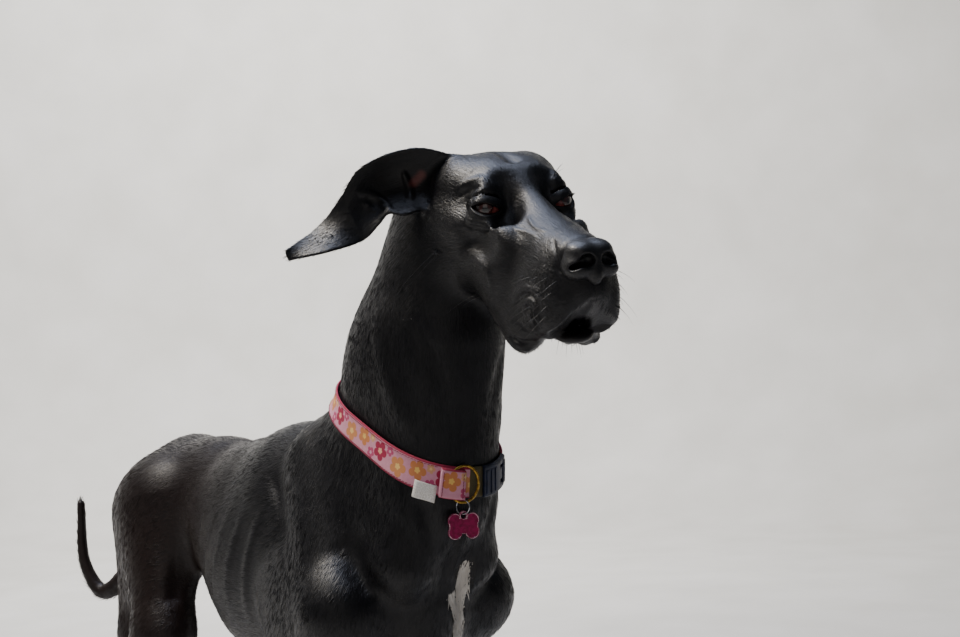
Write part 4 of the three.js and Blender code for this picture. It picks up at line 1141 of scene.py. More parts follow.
@dataclass(frozen=True)
class ShortCoat:
    """Black short dog hair: glossy flat guard hairs, which the light picks out as fine streaks."""

    black: str = "040405"
    black_tips: str = "0d0c10"
    brown: str = "20130d"
    white: str = "cfcac2"
    pink: str = "5e3431"
    # bare skin's colour, which is also painted as shade into the mouth's gap and the ear's cup
    bare: str = "080505"
    hair_width: float = 1.6
    hair_length: float = 13.0
    lock_width: float = 5.0
    lock_length: float = 26.0
    follicle: float = 4.2
    specular: float = 0.28
    bare_roughness: float = 0.44

    def streaks(self, tree: NodeTree, place: str, width: float, length: float) -> NodeSocket:
        """Streaky noise along the lie, in one patch set's own coordinates."""
        coords = add_node(tree, "ShaderNodeAttribute", attribute_name=place)
        size = (1 / length, 1 / width, 1 / width)
        scale = add_node(tree, "ShaderNodeMapping", {"Vector": coords.outputs["Vector"], "Scale": size})
        links = {"Vector": scale.outputs["Vector"], "Scale": 1.0, "Detail": 3.0, "Roughness": 0.62}
        noise = add_node(tree, "ShaderNodeTexNoise", {**links, "Distortion": 0.4})
        return noise.outputs["Fac"]

    def mixed(self, tree: NodeTree, width: float, length: float) -> NodeSocket:
        """The streaks of both patch sets, each faded out at its patches' borders."""
        share = add_node(tree, "ShaderNodeAttribute", attribute_name="patch_share")
        first = self.streaks(tree, "lie_a", width, length)
        second = self.streaks(tree, "lie_b", width, length)
        links = {0: share.outputs["Fac"], 2: second, 3: first}
        return add_node(tree, "ShaderNodeMix", links, data_type="FLOAT").outputs[0]

    def ragged(self, tree: NodeTree, name: str, hairs: NodeSocket) -> NodeSocket:
        """A marking's share with an edge that the hairs break up."""
        share = add_node(tree, "ShaderNodeAttribute", attribute_name=name)
        push = add_node(tree, "ShaderNodeMath", {0: hairs, 1: 1.6, 2: -0.8}, operation="MULTIPLY_ADD")
        links = {0: share.outputs["Fac"], 1: push.outputs[0]}
        raised = add_node(tree, "ShaderNodeMath", links, operation="ADD")
        edge = add_node(tree, "ShaderNodeMapRange", {"Value": raised.outputs[0], 1: 0.42, 2: 0.62})
        return edge.outputs[0]

    def tinted(self, tree: NodeTree, base: NodeSocket, share: NodeSocket, colour: str) -> NodeSocket:
        """A colour mixed over the base by a marking's share."""
        mix = add_node(tree, "ShaderNodeMix", {0: share, 6: base, 7: srgb(colour)}, data_type="RGBA")
        return mix.outputs[2]

    def marked(self, tree: NodeTree, base: NodeSocket, hairs: NodeSocket) -> NodeSocket:
        """The base colour under the markings that skin and tufts share."""
        brown = add_node(tree, "ShaderNodeAttribute", attribute_name="brown")
        bare = add_node(tree, "ShaderNodeAttribute", attribute_name="bare")
        pink = add_node(tree, "ShaderNodeAttribute", attribute_name="pink")
        colour = self.tinted(tree, base, brown.outputs["Fac"], self.brown)
        colour = self.tinted(tree, colour, bare.outputs["Fac"], self.bare)
        colour = self.tinted(tree, colour, self.ragged(tree, "white", hairs), self.white)
        return self.tinted(tree, colour, pink.outputs["Fac"], self.pink)

    def make(self) -> Material:
        """The skin's material. Streaks in tone, gloss and height make the light break up as on hair."""
        material, tree, shader = blank_material("short_black_coat")
        hairs = self.mixed(tree, self.hair_width, self.hair_length)
        locks = self.mixed(tree, self.lock_width, self.lock_length)
        tone = add_node(tree, "ShaderNodeValToRGB", {"Fac": hairs})
        ramp_of(tone, [(0.35, srgb(self.black)), (0.72, srgb(self.black_tips))])
        tree.links.new(self.marked(tree, tone.outputs["Color"], hairs), shader.inputs["Base Color"])
        gloss = add_node(tree, "ShaderNodeMapRange", {"Value": hairs, 1: 0.3, 2: 0.7, 3: 0.3, 4: 0.48})
        bare = add_node(tree, "ShaderNodeAttribute", attribute_name="bare")
        links = {0: bare.outputs["Fac"], 2: gloss.outputs[0], 3: self.bare_roughness}
        rough = add_node(tree, "ShaderNodeMix", links, data_type="FLOAT")
        tree.links.new(rough.outputs[0], shader.inputs["Roughness"])
        fine = add_node(tree, "ShaderNodeBump", {"Height": hairs, "Strength": 0.6, "Distance": 0.001})
        links = {"Height": locks, "Strength": 0.5, "Distance": 0.0016, "Normal": fine.outputs["Normal"]}
        broad = add_node(tree, "ShaderNodeBump", links)
        tree.links.new(self.pebbled(tree, broad.outputs["Normal"]), shader.inputs["Normal"])
        shader.inputs["Specular IOR Level"].default_value = self.specular
        shader.inputs["Sheen Weight"].default_value = 0.02
        shader.inputs["Sheen Roughness"].default_value = 0.4
        return material

    def pebbled(self, tree: NodeTree, normal: NodeSocket) -> NodeSocket:
        """Small bumps where bristles root in the lips and on the pads."""
        share = add_node(tree, "ShaderNodeAttribute", attribute_name="follicles")
        place = add_node(tree, "ShaderNodeTexCoord")
        links = {"Vector": place.outputs["Object"], "Scale": 1000 / self.follicle}
        cells = add_node(tree, "ShaderNodeTexVoronoi", links, feature="SMOOTH_F1")
        links = {0: cells.outputs["Distance"], 1: share.outputs["Fac"]}
        height = add_node(tree, "ShaderNodeMath", links, operation="MULTIPLY")
        links = {"Height": height.outputs[0], "Strength": 0.6, "Distance": 0.0012, "Normal": normal}
        return add_node(tree, "ShaderNodeBump", links, invert=True).outputs["Normal"]

    def make_tufts(self) -> Material:
        """The tufts' material: the same colours, a shade lighter where the light catches their tips."""
        material, tree, shader = blank_material("short_black_tufts")
        grain = speckle(tree, 190.0, 2.0)
        tone = add_node(tree, "ShaderNodeValToRGB", {"Fac": grain})
        ramp_of(tone, [(0.35, srgb(self.black)), (0.7, srgb(self.black_tips))])
        tree.links.new(self.marked(tree, tone.outputs["Color"], grain), shader.inputs["Base Color"])
        gloss = add_node(tree, "ShaderNodeMapRange", {"Value": grain, 1: 0.3, 2: 0.7, 3: 0.32, 4: 0.48})
        tree.links.new(gloss.outputs[0], shader.inputs["Roughness"])
        shader.inputs["Specular IOR Level"].default_value = self.specular
        return material


@dataclass
class Skin:
    """The skin over all the flesh, in two parts that meet under the collar."""

    coat: ShortCoat = field(default_factory=ShortCoat)
    patch_spacing: float = 74.0

    def __post_init__(self) -> None:
        self.shape = body_field()
        self.ears = [right_ear(), left_ear()]
        self.shape.forms += self.ears
        self.shape = Field(self.shape.forms, self.shape.carved, self.shape.filled)
        self.shape.raised = [*face_folds(), *ear_folds(), *body_lines()]
        self.lie = Lie(coat_strokes())
        self.surfaces: dict[str, Surface] = {}
        self.open_eyes()

    def open_eyes(self) -> None:
        """Lids over each eyeball, parted by the almond between them."""
        for s in SIDES:
            centre = eye_centre(s)
            self.shape.filled.append(Lobe(centre, (EYE_RADIUS + 4.2,) * 3, 7))
            self.shape.cut.append(Almond(centre, lid_axes(s), 16.5, 8.0, 5.6, 40, 1.2))
            self.shape.cut.append(Lobe(centre, (EYE_RADIUS + 1.4,) * 3, 0.8))

    BODY_BOX = ((-170, -520, -14), (170, 620, 860))
    HEAD_BOX = ((-222, -780, 680), (150, -130, 1112))

    def axes_of_body(self) -> list[np.ndarray]:
        """Grid lines for all below the collar, finer at the paws."""
        low, high = self.BODY_BOX
        return [
            graded(low[0], high[0], 4.9, [(-135, -62, 4.0), (62, 135, 4.0)]),
            graded(low[1], high[1], 4.9, [(-345, -225, 3.8), (320, 430, 4.0)]),
            graded(low[2], high[2], 4.9, [(-20, 84, 2.7)]),
        ]

    def axes_of_head(self) -> list[np.ndarray]:
        """Grid lines for the head, ears and neck, coarser down the neck."""
        low, high = self.HEAD_BOX
        return [
            graded(low[0], high[0], 2.7, [(-74, 100, 2.1)]),
            graded(low[1], high[1], 4.4, [(-770, -360, 2.05)]),
            graded(low[2], high[2], 4.4, [(880, 1112, 2.0)]),
        ]

    def build(self) -> list[Object]:
        """Both parts of the skin, dressed."""
        made = []
        material = self.coat.make()
        parts = (("skin_body", self.axes_of_body(), -1), ("skin_head", self.axes_of_head(), 1))
        for name, axes, sign in parts:
            surface = Skinner(self.shape, axes).surface()
            surface = self.parted(surface, sign)
            self.surfaces[name] = surface
            piece = self.dress(name, surface)
            piece.data.materials.append(material)
            made.append(piece)
        return made

    def parted(self, surface: Surface, sign: int) -> Surface:
        """The faces on one side of the collar's middle, with a little under it."""
        above = (surface.points - COLLAR_MIDDLE) @ COLLAR_UP * sign
        keep = (above[surface.faces] > -4).all(1)
        if sign < 0:
            chest = surface.points[:, 1] > -520
            keep &= chest[surface.faces].all(1)
        used = np.unique(surface.faces[keep])
        number = np.full(len(surface.points), -1)
        number[used] = np.arange(len(used))
        return Surface(surface.points[used], number[surface.faces[keep]], surface.normals[used])

    def markings(self, points: np.ndarray) -> dict[str, np.ndarray]:
        """How brown, white, bare, pink and follicled the coat is at points; the bare share also paints shade
        into the mouth's gap and the right ear's cup.
        """
        ahead, up = -points[:, 1], points[:, 2]
        rear = smooth_step((60 - ahead) / 220) * smooth_step((up - 180) / 200)
        flank = np.exp(-(((up - 560) / 130) ** 2))
        brown = 0.6 * rear * (0.45 + 0.55 * flank)
        white = 0.0 * up
        for line in WHITE_LINES:
            white = np.maximum(white, near_line(points, line, 4, 13))
        lips = near_line(points, LIP_LINE, 2.0, 5.0)
        mirrored = near_line(points, LIP_LINE_LEFT, 2.0, 5.0)
        # Painted shade: the mouth's gap takes the bare colour, both for the bare inside of the lips and for
        # the shade that fills the gap.
        gap = np.minimum.reduce([form.distance(points) for form in mouth_gaps()])
        inside = smooth_step((3.5 - gap) / 3.0) * smooth_step((up - 700) / 10)
        # The right ear's cup is partly bare skin and partly painted shade for its deep hollow.
        bare = np.maximum.reduce([lips, mirrored, inside, self.ear_cup_bare_and_shade(points)])
        soles = smooth_step((9 - up) / 4)
        pink = near_line(points, EAR_CANAL, 1, 8)
        muzzle = np.maximum(*(near_line(points, line, 16, 34) for line in MUZZLE_LINES))
        return {
            "brown": brown,
            "white": white,
            "bare": np.maximum(bare, soles),
            "pink": pink,
            "follicles": np.maximum(muzzle, soles),
        }

    def ear_cup_bare_and_shade(self, points: np.ndarray) -> np.ndarray:
        """How far points lie in the cup of the right ear: thinly haired skin, given the bare colour also as
        painted shade for its deep hollow.
        """
        share = np.zeros(len(points))
        ear = self.ears[0]
        near = np.flatnonzero(np.linalg.norm(points - ear.centre, axis=1) < ear.reach)
        if len(near) == 0:
            return share
        gap, place = ear.nearest(points[near])
        t, v = place[:, 0], place[:, 1]
        across = smooth_step((v - 0.1) / 0.15) * smooth_step((0.92 - v) / 0.15)
        along = smooth_step((0.62 - t) / 0.2)
        front = (np.abs(gap) < 6) & (gap * self.ear_front > 0)
        share[near] = 0.8 * front * across * along
        return share

    ear_front: float = 1.0

    def dress(self, name: str, surface: Surface, own: dict[str, np.ndarray] | None = None) -> Object:
        """A part as an object with the coat's coordinates and markings.

        Args:
            name: the object's name.
            surface: its points, faces and normals.
            own: markings that replace those of the whole coat.

        Returns:
            The object, without its material.
        """
        mesh = mesh_of(name, surface.points, surface.faces, surface.normals)
        along = self.lie.direction(surface.points, surface.normals)
        sets = [Patches(surface.points, along, surface.normals, self.patch_spacing, SEED + i) for i in (1, 2)]
        for key, patches in zip(("lie_a", "lie_b"), sets):
            give(mesh, key, patches.corners(surface.points, surface.faces), "CORNER")
        first, second = (patches.weights(surface.points) for patches in sets)
        give(mesh, "patch_share", first / (first + second))
        for key, values in {**self.markings(surface.points), **(own or {})}.items():
            give(mesh, key, values)
        return new_object(name, mesh)


def near_line(points: np.ndarray, line: np.ndarray, full: float, none: float) -> np.ndarray:
    """A share that is 1 within full mm of a line and 0 beyond none mm."""
    least = np.full(len(points), np.inf)
    low, high = line.min(0) - none, line.max(0) + none
    near = ((points > low) & (points < high)).all(1)
    p = points[near]
    gaps = np.full(len(p), np.inf)
    for a, b in zip(line[:-1], line[1:]):
        t = np.clip((p - a) @ (b - a) / ((b - a) @ (b - a)), 0, 1)
        gaps = np.minimum(gaps, np.linalg.norm(p - a - t[:, None] * (b - a), axis=1))
    least[near] = gaps
    return smooth_step((none - least) / (none - full))


def lip_line(s: int) -> np.ndarray:
    """The lower edge of one side's flew, from under the nose to the mouth's corner."""
    places = [(0, 180, -77), (8, 173, -86), (15, 163, -97), (25, 161, -105), (30, 156, -113), (32, 134, -122)]
    places += [(33, 110, -131), (36, 92, -144), (44, 84, -141), (50, 74, -134)]
    return curve_through([in_head(s * x, y, z) for x, y, z in places], 20)


LIP_LINE = lip_line(-1)
LIP_LINE_LEFT = lip_line(1)
EAR_CANAL = curve_through([in_head(-92, -114, 18), in_head(-86, -111, 24), in_head(-81, -108, 30)], 4)
MUZZLE_LINES = [curve_through([in_head(s * 33, 150, -60), in_head(s * 40, 112, -92)], 3) for s in SIDES]
WHITE_LINES = [
    curve_through([at(26, 400, 606), at(27, 388, 578), at(31, 374, 545), at(36, 356, 512)], 6),
    curve_through([at(16, 388, 560), at(28, 372, 540), at(38, 362, 522)], 4),
]

COLLAR_BACK = at(0, 216, 822)
COLLAR_FRONT = at(4, 446, 706)
COLLAR_MIDDLE = (COLLAR_BACK + COLLAR_FRONT) / 2
COLLAR_AHEAD = unit(COLLAR_FRONT - COLLAR_BACK)
COLLAR_UP = unit(np.cross(COLLAR_AHEAD, np.array([1.0, 0, 0])))


def ring_quads(rings: int, around: int, start: int = 0) -> list[list[int]]:
    """Faces between closed rings of points that follow each other.

    Args:
        rings: how many there are.
        around: points a ring.
        start: the first ring's first point.

    Returns:
        Rows of four point numbers.
    """
    quads = []
    for low in range(start, start + (rings - 1) * around, around):
        for k in range(around):
            n = (k + 1) % around
            quads.append([low + k, low + n, low + around + n, low + around + k])
    return quads


def tube(line: np.ndarray, radii: np.ndarray | float, sides: int = 8, flat: float = 1.0) -> Surface:
    """A closed tube along a line.

    Args:
        line: N points.
        radii: one radius, or one a point.
        sides: faces round it.
        flat: its thickness over its width.
    """
    line = np.asarray(line, float)
    count = len(line)
    radii = np.broadcast_to(np.asarray(radii, float), (count,))
    along = unit(np.gradient(line, axis=0))
    side = np.cross(along[0], [0.0, 0.0, 1.0])
    if np.linalg.norm(side) < 0.1:
        side = np.cross(along[0], [0.0, 1.0, 0.0])
    rings = []
    angles = np.linspace(0, 2 * np.pi, sides, endpoint=False)
    for i in range(count):
        side = unit(side - side @ along[i] * along[i])
        up = np.cross(side, along[i])
        offsets = np.cos(angles)[:, None] * side + np.sin(angles)[:, None] * up * flat
        rings.append(line[i] + offsets * radii[i])
    points = np.concatenate([*rings, line[:1], line[-1:]])
    faces = ring_quads(count, sides)
    first, last = count * sides, count * sides + 1
    for k in range(sides):
        n = (k + 1) % sides
        faces.append([first, n, k])
        faces.append([last, (count - 1) * sides + k, (count - 1) * sides + n])
    return Surface(points, faces)


def joined(parts: Sequence[Surface]) -> Surface:
    """Several surfaces as one."""
    points, faces, start = [], [], 0
    for part in parts:
        points.append(part.points)
        faces += [[i + start for i in face] for face in part.faces]
        start += len(part.points)
    return Surface(np.concatenate(points), faces)


def tidy(mesh: Mesh, doubles: bool = True) -> Mesh:
    """A mesh with its faces turned outwards, and its doubles merged where that is set."""
    work = bmesh.new()
    work.from_mesh(mesh)
    if doubles:
        bmesh.ops.remove_doubles(work, verts=work.verts, dist=1e-6)
    bmesh.ops.recalc_face_normals(work, faces=work.faces)
    work.to_mesh(mesh)
    work.free()
    return mesh


def solid(name: str, surface: Surface) -> Object:
    """A closed surface as an object."""
    return new_object(name, tidy(mesh_of(name, surface.points, surface.faces)))


def planting_tree() -> NodeTree:
    """A node tree that sets a shape on every root, turned and sized by the root's own values."""
    if "shapes_on_roots" in bpy.data.node_groups:
        return bpy.data.node_groups["shapes_on_roots"]
    tree = bpy.data.node_groups.new("shapes_on_roots", "GeometryNodeTree")
    face = tree.interface
    face.new_socket("Roots", in_out="INPUT", socket_type="NodeSocketGeometry")
    face.new_socket("Shape", in_out="INPUT", socket_type="NodeSocketObject")
    face.new_socket("Material", in_out="INPUT", socket_type="NodeSocketMaterial")
    face.new_socket("Geometry", in_out="OUTPUT", socket_type="NodeSocketGeometry")
    entry = add_node(tree, "NodeGroupInput")
    ahead, out, size = (
        add_node(tree, "GeometryNodeInputNamedAttribute", {"Name": key}, data_type="FLOAT_VECTOR")
        for key in ("ahead", "out", "size")
    )
    upright = add_node(tree, "FunctionNodeAlignRotationToVector", {"Vector": out.outputs[0]}, axis="Z")
    turned = add_node(
        tree,
        "FunctionNodeAlignRotationToVector",
        {"Rotation": upright.outputs[0], "Vector": ahead.outputs[0]},
        axis="X",
        pivot_axis="Z",
    )
    shape = add_node(tree, "GeometryNodeObjectInfo", {"Object": entry.outputs["Shape"]})
    placed = add_node(
        tree,
        "GeometryNodeInstanceOnPoints",
        {
            "Points": entry.outputs["Roots"],
            "Instance": shape.outputs["Geometry"],
            "Rotation": turned.outputs[0],
            "Scale": size.outputs[0],
        },
    )
    real = add_node(tree, "GeometryNodeRealizeInstances", {"Geometry": placed.outputs[0]})
    links = {"Geometry": real.outputs[0], "Material": entry.outputs["Material"]}
    shown = add_node(tree, "GeometryNodeSetMaterial", links)
    add_node(tree, "NodeGroupOutput", {"Geometry": shown.outputs[0]})
    return tree


def planted(
    name: str,
    places: np.ndarray,
    values: dict[str, np.ndarray],
    shape: tuple[Sequence, Sequence],
    material: Material,
) -> Mesh:
    """A plain mesh of one small shape set on many places by the planting tree.

    Args:
        name: the mesh's name.
        places: roots in millimetres.
        values: for each root its vectors ahead, out and size (in metres), and any markings.
        shape: points and faces of the shape, its length along X and its back along Z.
        material: what it shows.

    Returns:
        The mesh, which keeps the markings but not the three vectors.
    """
    roots = mesh_of(f"{name}_roots", places, [])
    for key, value in values.items():
        give(roots, key, value)
    carrier = new_object(f"{name}_roots", roots)
    unit_mesh = bpy.data.meshes.new("unit_shape")
    unit_mesh.from_pydata(*[list(part) for part in (shape[0], [], shape[1])])
    unit_mesh.polygons.foreach_set("use_smooth", np.ones(len(unit_mesh.polygons), bool))
    unit_shape = new_object("unit_shape", unit_mesh)
    modifier = carrier.modifiers.new("planting", "NODES")
    modifier.node_group = planting_tree()
    sockets = {i.name: i.identifier for i in modifier.node_group.interface.items_tree if i.in_out == "INPUT"}
    modifier[sockets["Shape"]] = unit_shape
    modifier[sockets["Material"]] = material
    bpy.context.view_layer.update()
    graph = bpy.context.evaluated_depsgraph_get()
    mesh = bpy.data.meshes.new_from_object(carrier.evaluated_get(graph))
    carrier.modifiers.remove(modifier)
    bpy.data.objects.remove(carrier)
    bpy.data.objects.remove(unit_shape)
    mesh.name = name
    for key in ("ahead", "out", "size"):
        if key in mesh.attributes:
            mesh.attributes.remove(mesh.attributes[key])
    return mesh


@dataclass(frozen=True)
class Region:
    """Tufts of one part of the dog: their size in millimetres, their lift and how much they cover."""

    length: float
    width: float
    lift: float
    cover: float = 0.5


REGIONS = {
    "trunk": Region(9.5, 0.95, 3.0, 0.32),
    "neck": Region(8.0, 0.85, 3.0, 0.32),
    "legs": Region(6.0, 0.85, 4.0, 0.34),
    "face": Region(4.0, 0.65, 4.0, 0.3),
    "edges": Region(13.0, 1.1, 10.0, 0.6),
    "fringe": Region(15.0, 1.3, 20.0, 1.6),
}


@dataclass
class Tufts:
    """Short flat tufts of closed blades over the skin, on every side, along the lie of the coat."""

    skin: Skin
    stray: float = 11.0
    patch: float = 0.003
    limit: int = 19000

    BLADE_ROOT = [(0, -0.5, -0.2), (0, 0.5, -0.2), (0, 0, 0.35)]
    BLADE = [*BLADE_ROOT, (0.5, -0.4, -0.2), (0.5, 0.4, -0.2), (0.5, 0, 0.4), (1, 0, 0)]
    BLADE_FACES = [(0, 2, 1), (0, 3, 5, 2), (2, 5, 4, 1), (1, 4, 3, 0), (3, 6, 5), (5, 6, 4), (4, 6, 3)]

    def parts_of(self, points: np.ndarray) -> np.ndarray:
        """Names of the coat pieces that points belong to."""
        left, ahead, up = points[:, 0], -points[:, 1], points[:, 2]
        side = np.where(left < 0, "right", "left")
        names = np.char.add("trunk_", side)
        names = np.where((up < 470) & (ahead > 60), np.char.add("foreleg_", side), names)
        names = np.where((up < 500) & (ahead < -120), np.char.add("hindleg_", side), names)
        names = np.where((up - 700 > (460 - ahead) * 0.5) & (ahead > 150), np.char.add("neck_", side), names)
        local = (points - HEAD_PLACE) @ HEAD_TURN
        head = (-local[:, 1] > -150) & (local[:, 2] > -160) & (up > 840)
        names = np.where(head, np.char.add("head_", side), names)
        tail = (ahead < -372) & (np.abs(left + 40) < 70) & (ahead < -340 - (694 - up) * 0.35)
        return np.where(tail, "tail", names)

    def sizes(self, points: np.ndarray, normals: np.ndarray, white: np.ndarray) -> np.ndarray:
        """Length, width, lift and cover of the tufts at points."""
        left, ahead, up = points[:, 0], -points[:, 1], points[:, 2]
        local = (points - HEAD_PLACE) @ HEAD_TURN
        face = smooth_step((-local[:, 1] + 150) / 90) * smooth_step((local[:, 2] + 190) / 60) * (up > 800)
        neck = smooth_step((up - 720) / 120) * (ahead > 200)
        legs = smooth_step((470 - up) / 120) * (np.abs(left) > 40)
        brisket = np.exp(-((left / 26) ** 2)) * smooth_step((-normals[:, 2] - 0.2) / 0.4) * (ahead > -160)
        breech = smooth_step((normals[:, 1] - 0.55) / 0.3) * smooth_step((up - 330) / 60) * (ahead < -260)
        elbow = np.exp(-(((ahead - 150) / 30) ** 2) - ((up - 470) / 40) ** 2)
        tail = 0.8 * (ahead < -420) * (np.abs(left + 50) < 60) * smooth_step((0.2 - normals[:, 2]) / 0.5)
        edges = np.maximum.reduce([0.8 * brisket, breech, elbow, tail])
        values = np.array([[r.length, r.width, r.lift, r.cover] for r in REGIONS.values()])
        result = np.tile(values[0], (len(points), 1))
        for share, value in zip((neck, legs, face, edges, smooth_step(white * 1.5)), values[1:]):
            result += (value - result) * share[:, None]
        return result

    def roots(self, surface: Surface, rng: np.random.Generator) -> tuple[np.ndarray, np.ndarray]:
        """Random places on a surface with their normals, denser where the tufts are smaller."""
        corners = surface.points[surface.faces]
        diagonals = corners[:, 2] - corners[:, 0], corners[:, 3] - corners[:, 1]
        area = np.linalg.norm(np.cross(*diagonals), axis=1) / 2
        middles = corners.mean(1)
        normals = unit(surface.normals[surface.faces].mean(1))
        size = self.sizes(middles, normals, self.skin.markings(middles)["white"])
        mean = area * size[:, 3] / (size[:, 0] * size[:, 1])
        count = rng.poisson(mean)
        face = np.repeat(np.arange(len(count)), count)
        u, v = rng.random((2, len(face), 1))
        c = corners[face]
        places = (c[:, 0] * (1 - u) + c[:, 1] * u) * (1 - v) + (c[:, 3] * (1 - u) + c[:, 2] * u) * v
        n = surface.normals[surface.faces[face]]
        slopes = (n[:, 0] * (1 - u) + n[:, 1] * u) * (1 - v) + (n[:, 3] * (1 - u) + n[:, 2] * u) * v
        return places, unit(slopes)

    def kept(self, points: np.ndarray, marks: dict[str, np.ndarray]) -> np.ndarray:
        """Which roots stay: none on bare skin, by the eyes, under the nose pad or under the collar."""
        level = (points - COLLAR_MIDDLE) @ COLLAR_UP
        near = np.linalg.norm(points - COLLAR_MIDDLE, axis=1) < 190
        keep = ~((np.abs(level) < COLLAR_WIDTH / 2 + 1) & near) & (marks["bare"] < 0.45) & (points[:, 2] > 6)
        for s in SIDES:
            keep &= np.linalg.norm(points - eye_centre(s), axis=1) > EYE_RADIUS + 7.5
        pad = Field(nose_forms()).value(points)
        return keep & (pad > 2.0)

    def build(self) -> list[Object]:
        """The coat's pieces, each below the limit of tufts."""
        rng = np.random.default_rng(SEED)
        parts = [self.roots(surface, rng) for surface in self.skin.surfaces.values()]
        places, normals = (np.concatenate(rows) for rows in zip(*parts))
        marks = self.skin.markings(places)
        keep = self.kept(places, marks)
        places, normals = places[keep], normals[keep]
        marks = {key: values[keep] for key, values in marks.items()}
        size = self.sizes(places, normals, marks["white"])
        along = self.skin.lie.direction(places, normals)
        across = np.cross(normals, along)
        yaw = np.radians(rng.normal(0, self.stray, len(places)))[:, None]
        swung = along * np.cos(yaw) + across * np.sin(yaw)
        lift = np.radians(size[:, 2] * rng.uniform(0.4, 1.5, len(places)))[:, None]
        ahead = swung * np.cos(lift) + normals * np.sin(lift)
        out = normals * np.cos(lift) - swung * np.sin(lift)
        scale = size[:, [0, 1, 1]] * rng.uniform(0.7, 1.3, (len(places), 1)) * MM
        scale[:, 2] *= 0.5
        names = self.parts_of(places)
        material = self.skin.coat.make_tufts()
        made = []
        for name in np.unique(names):
            chosen = np.flatnonzero(names == name)
            for i in range(0, len(chosen), self.limit):
                part = chosen[i : i + self.limit]
                number = f"_{i // self.limit + 1}" if len(chosen) > self.limit else ""
                label = f"tufts_{name}{number}"
                vectors = {"ahead": ahead[part], "out": out[part], "size": scale[part]}
                vectors["patch_place"] = self.unwrap(places[part], normals[part])
                shares = {key: marks[key][part] for key in ("brown", "white", "bare", "pink")}
                made.append(self.grow(label, places[part], {**vectors, **shares}, material))
        return made

    def unwrap(self, points: np.ndarray, normals: np.ndarray) -> np.ndarray:
        """Where each root lies on a flat chart of the skin, one field for each of six ways that it faces."""
        low, high = points.min(0), points.max(0)
        share = (points - low) / (high - low + 1e-6)
        axis = np.abs(normals).argmax(1)
        back = normals[np.arange(len(points)), axis] < 0
        other = np.array([(1, 2), (0, 2), (0, 1)])[axis]
        p = np.take_along_axis(share, other[:, :1], 1)[:, 0]
        q = np.take_along_axis(share, other[:, 1:], 1)[:, 0]
        margin, wide, high_share = 0.01, 1 / 3, 1 / 2
        u = (axis + margin + p * (1 - 3 * margin)) * wide
        v = (back + margin + q * (1 - 3 * margin)) * high_share
        return np.stack([u, v, 0 * u], 1)

    def grow(self, name: str, places: np.ndarray, values: dict, material: Material) -> Object:
        """One piece of the coat as a plain mesh, with its OFBake map."""
        mesh = planted(name, places, values, (self.BLADE, self.BLADE_FACES), material)
        self.shade_with_skin(mesh, values)
        self.map_patches(mesh)
        mesh.attributes.remove(mesh.attributes["patch_place"])
        return new_object(name, mesh)

    def shade_with_skin(self, mesh: Mesh, values: dict[str, np.ndarray]) -> None:
        """Turns the blades' normals to those of the skin, rounded across, so that they lie in its shine."""
        row = len(self.BLADE)
        tilt = np.array([1.1 * y for _, y, _ in self.BLADE])
        across = np.cross(values["out"], values["ahead"])
        normals = unit(values["out"][:, None] + across[:, None] * tilt[:, None]).reshape(-1, 3)
        if len(normals) == len(mesh.vertices) == row * len(across):
            mesh.normals_split_custom_set_from_vertices(normals.astype(np.float32))

    def map_patches(self, mesh: Mesh) -> None:
        """Writes the OFBake map: each tuft a small patch at its root's place on the chart."""
        count = len(mesh.vertices)
        place = np.empty(count * 3, np.float32)
        mesh.attributes["patch_place"].data.foreach_get("vector", place)
        own = np.array([(x - 0.5, y) for x, y, _ in self.BLADE])
        flat = place.reshape(-1, 3)[:, :2] + own[np.arange(count) % len(own)] * self.patch
        corner = np.empty(len(mesh.loops), np.int32)
        mesh.loops.foreach_get("vertex_index", corner)
        layer = mesh.uv_layers.new(name="OFBake")
        layer.data.foreach_set("uv", flat[corner].astype(np.float32).ravel())


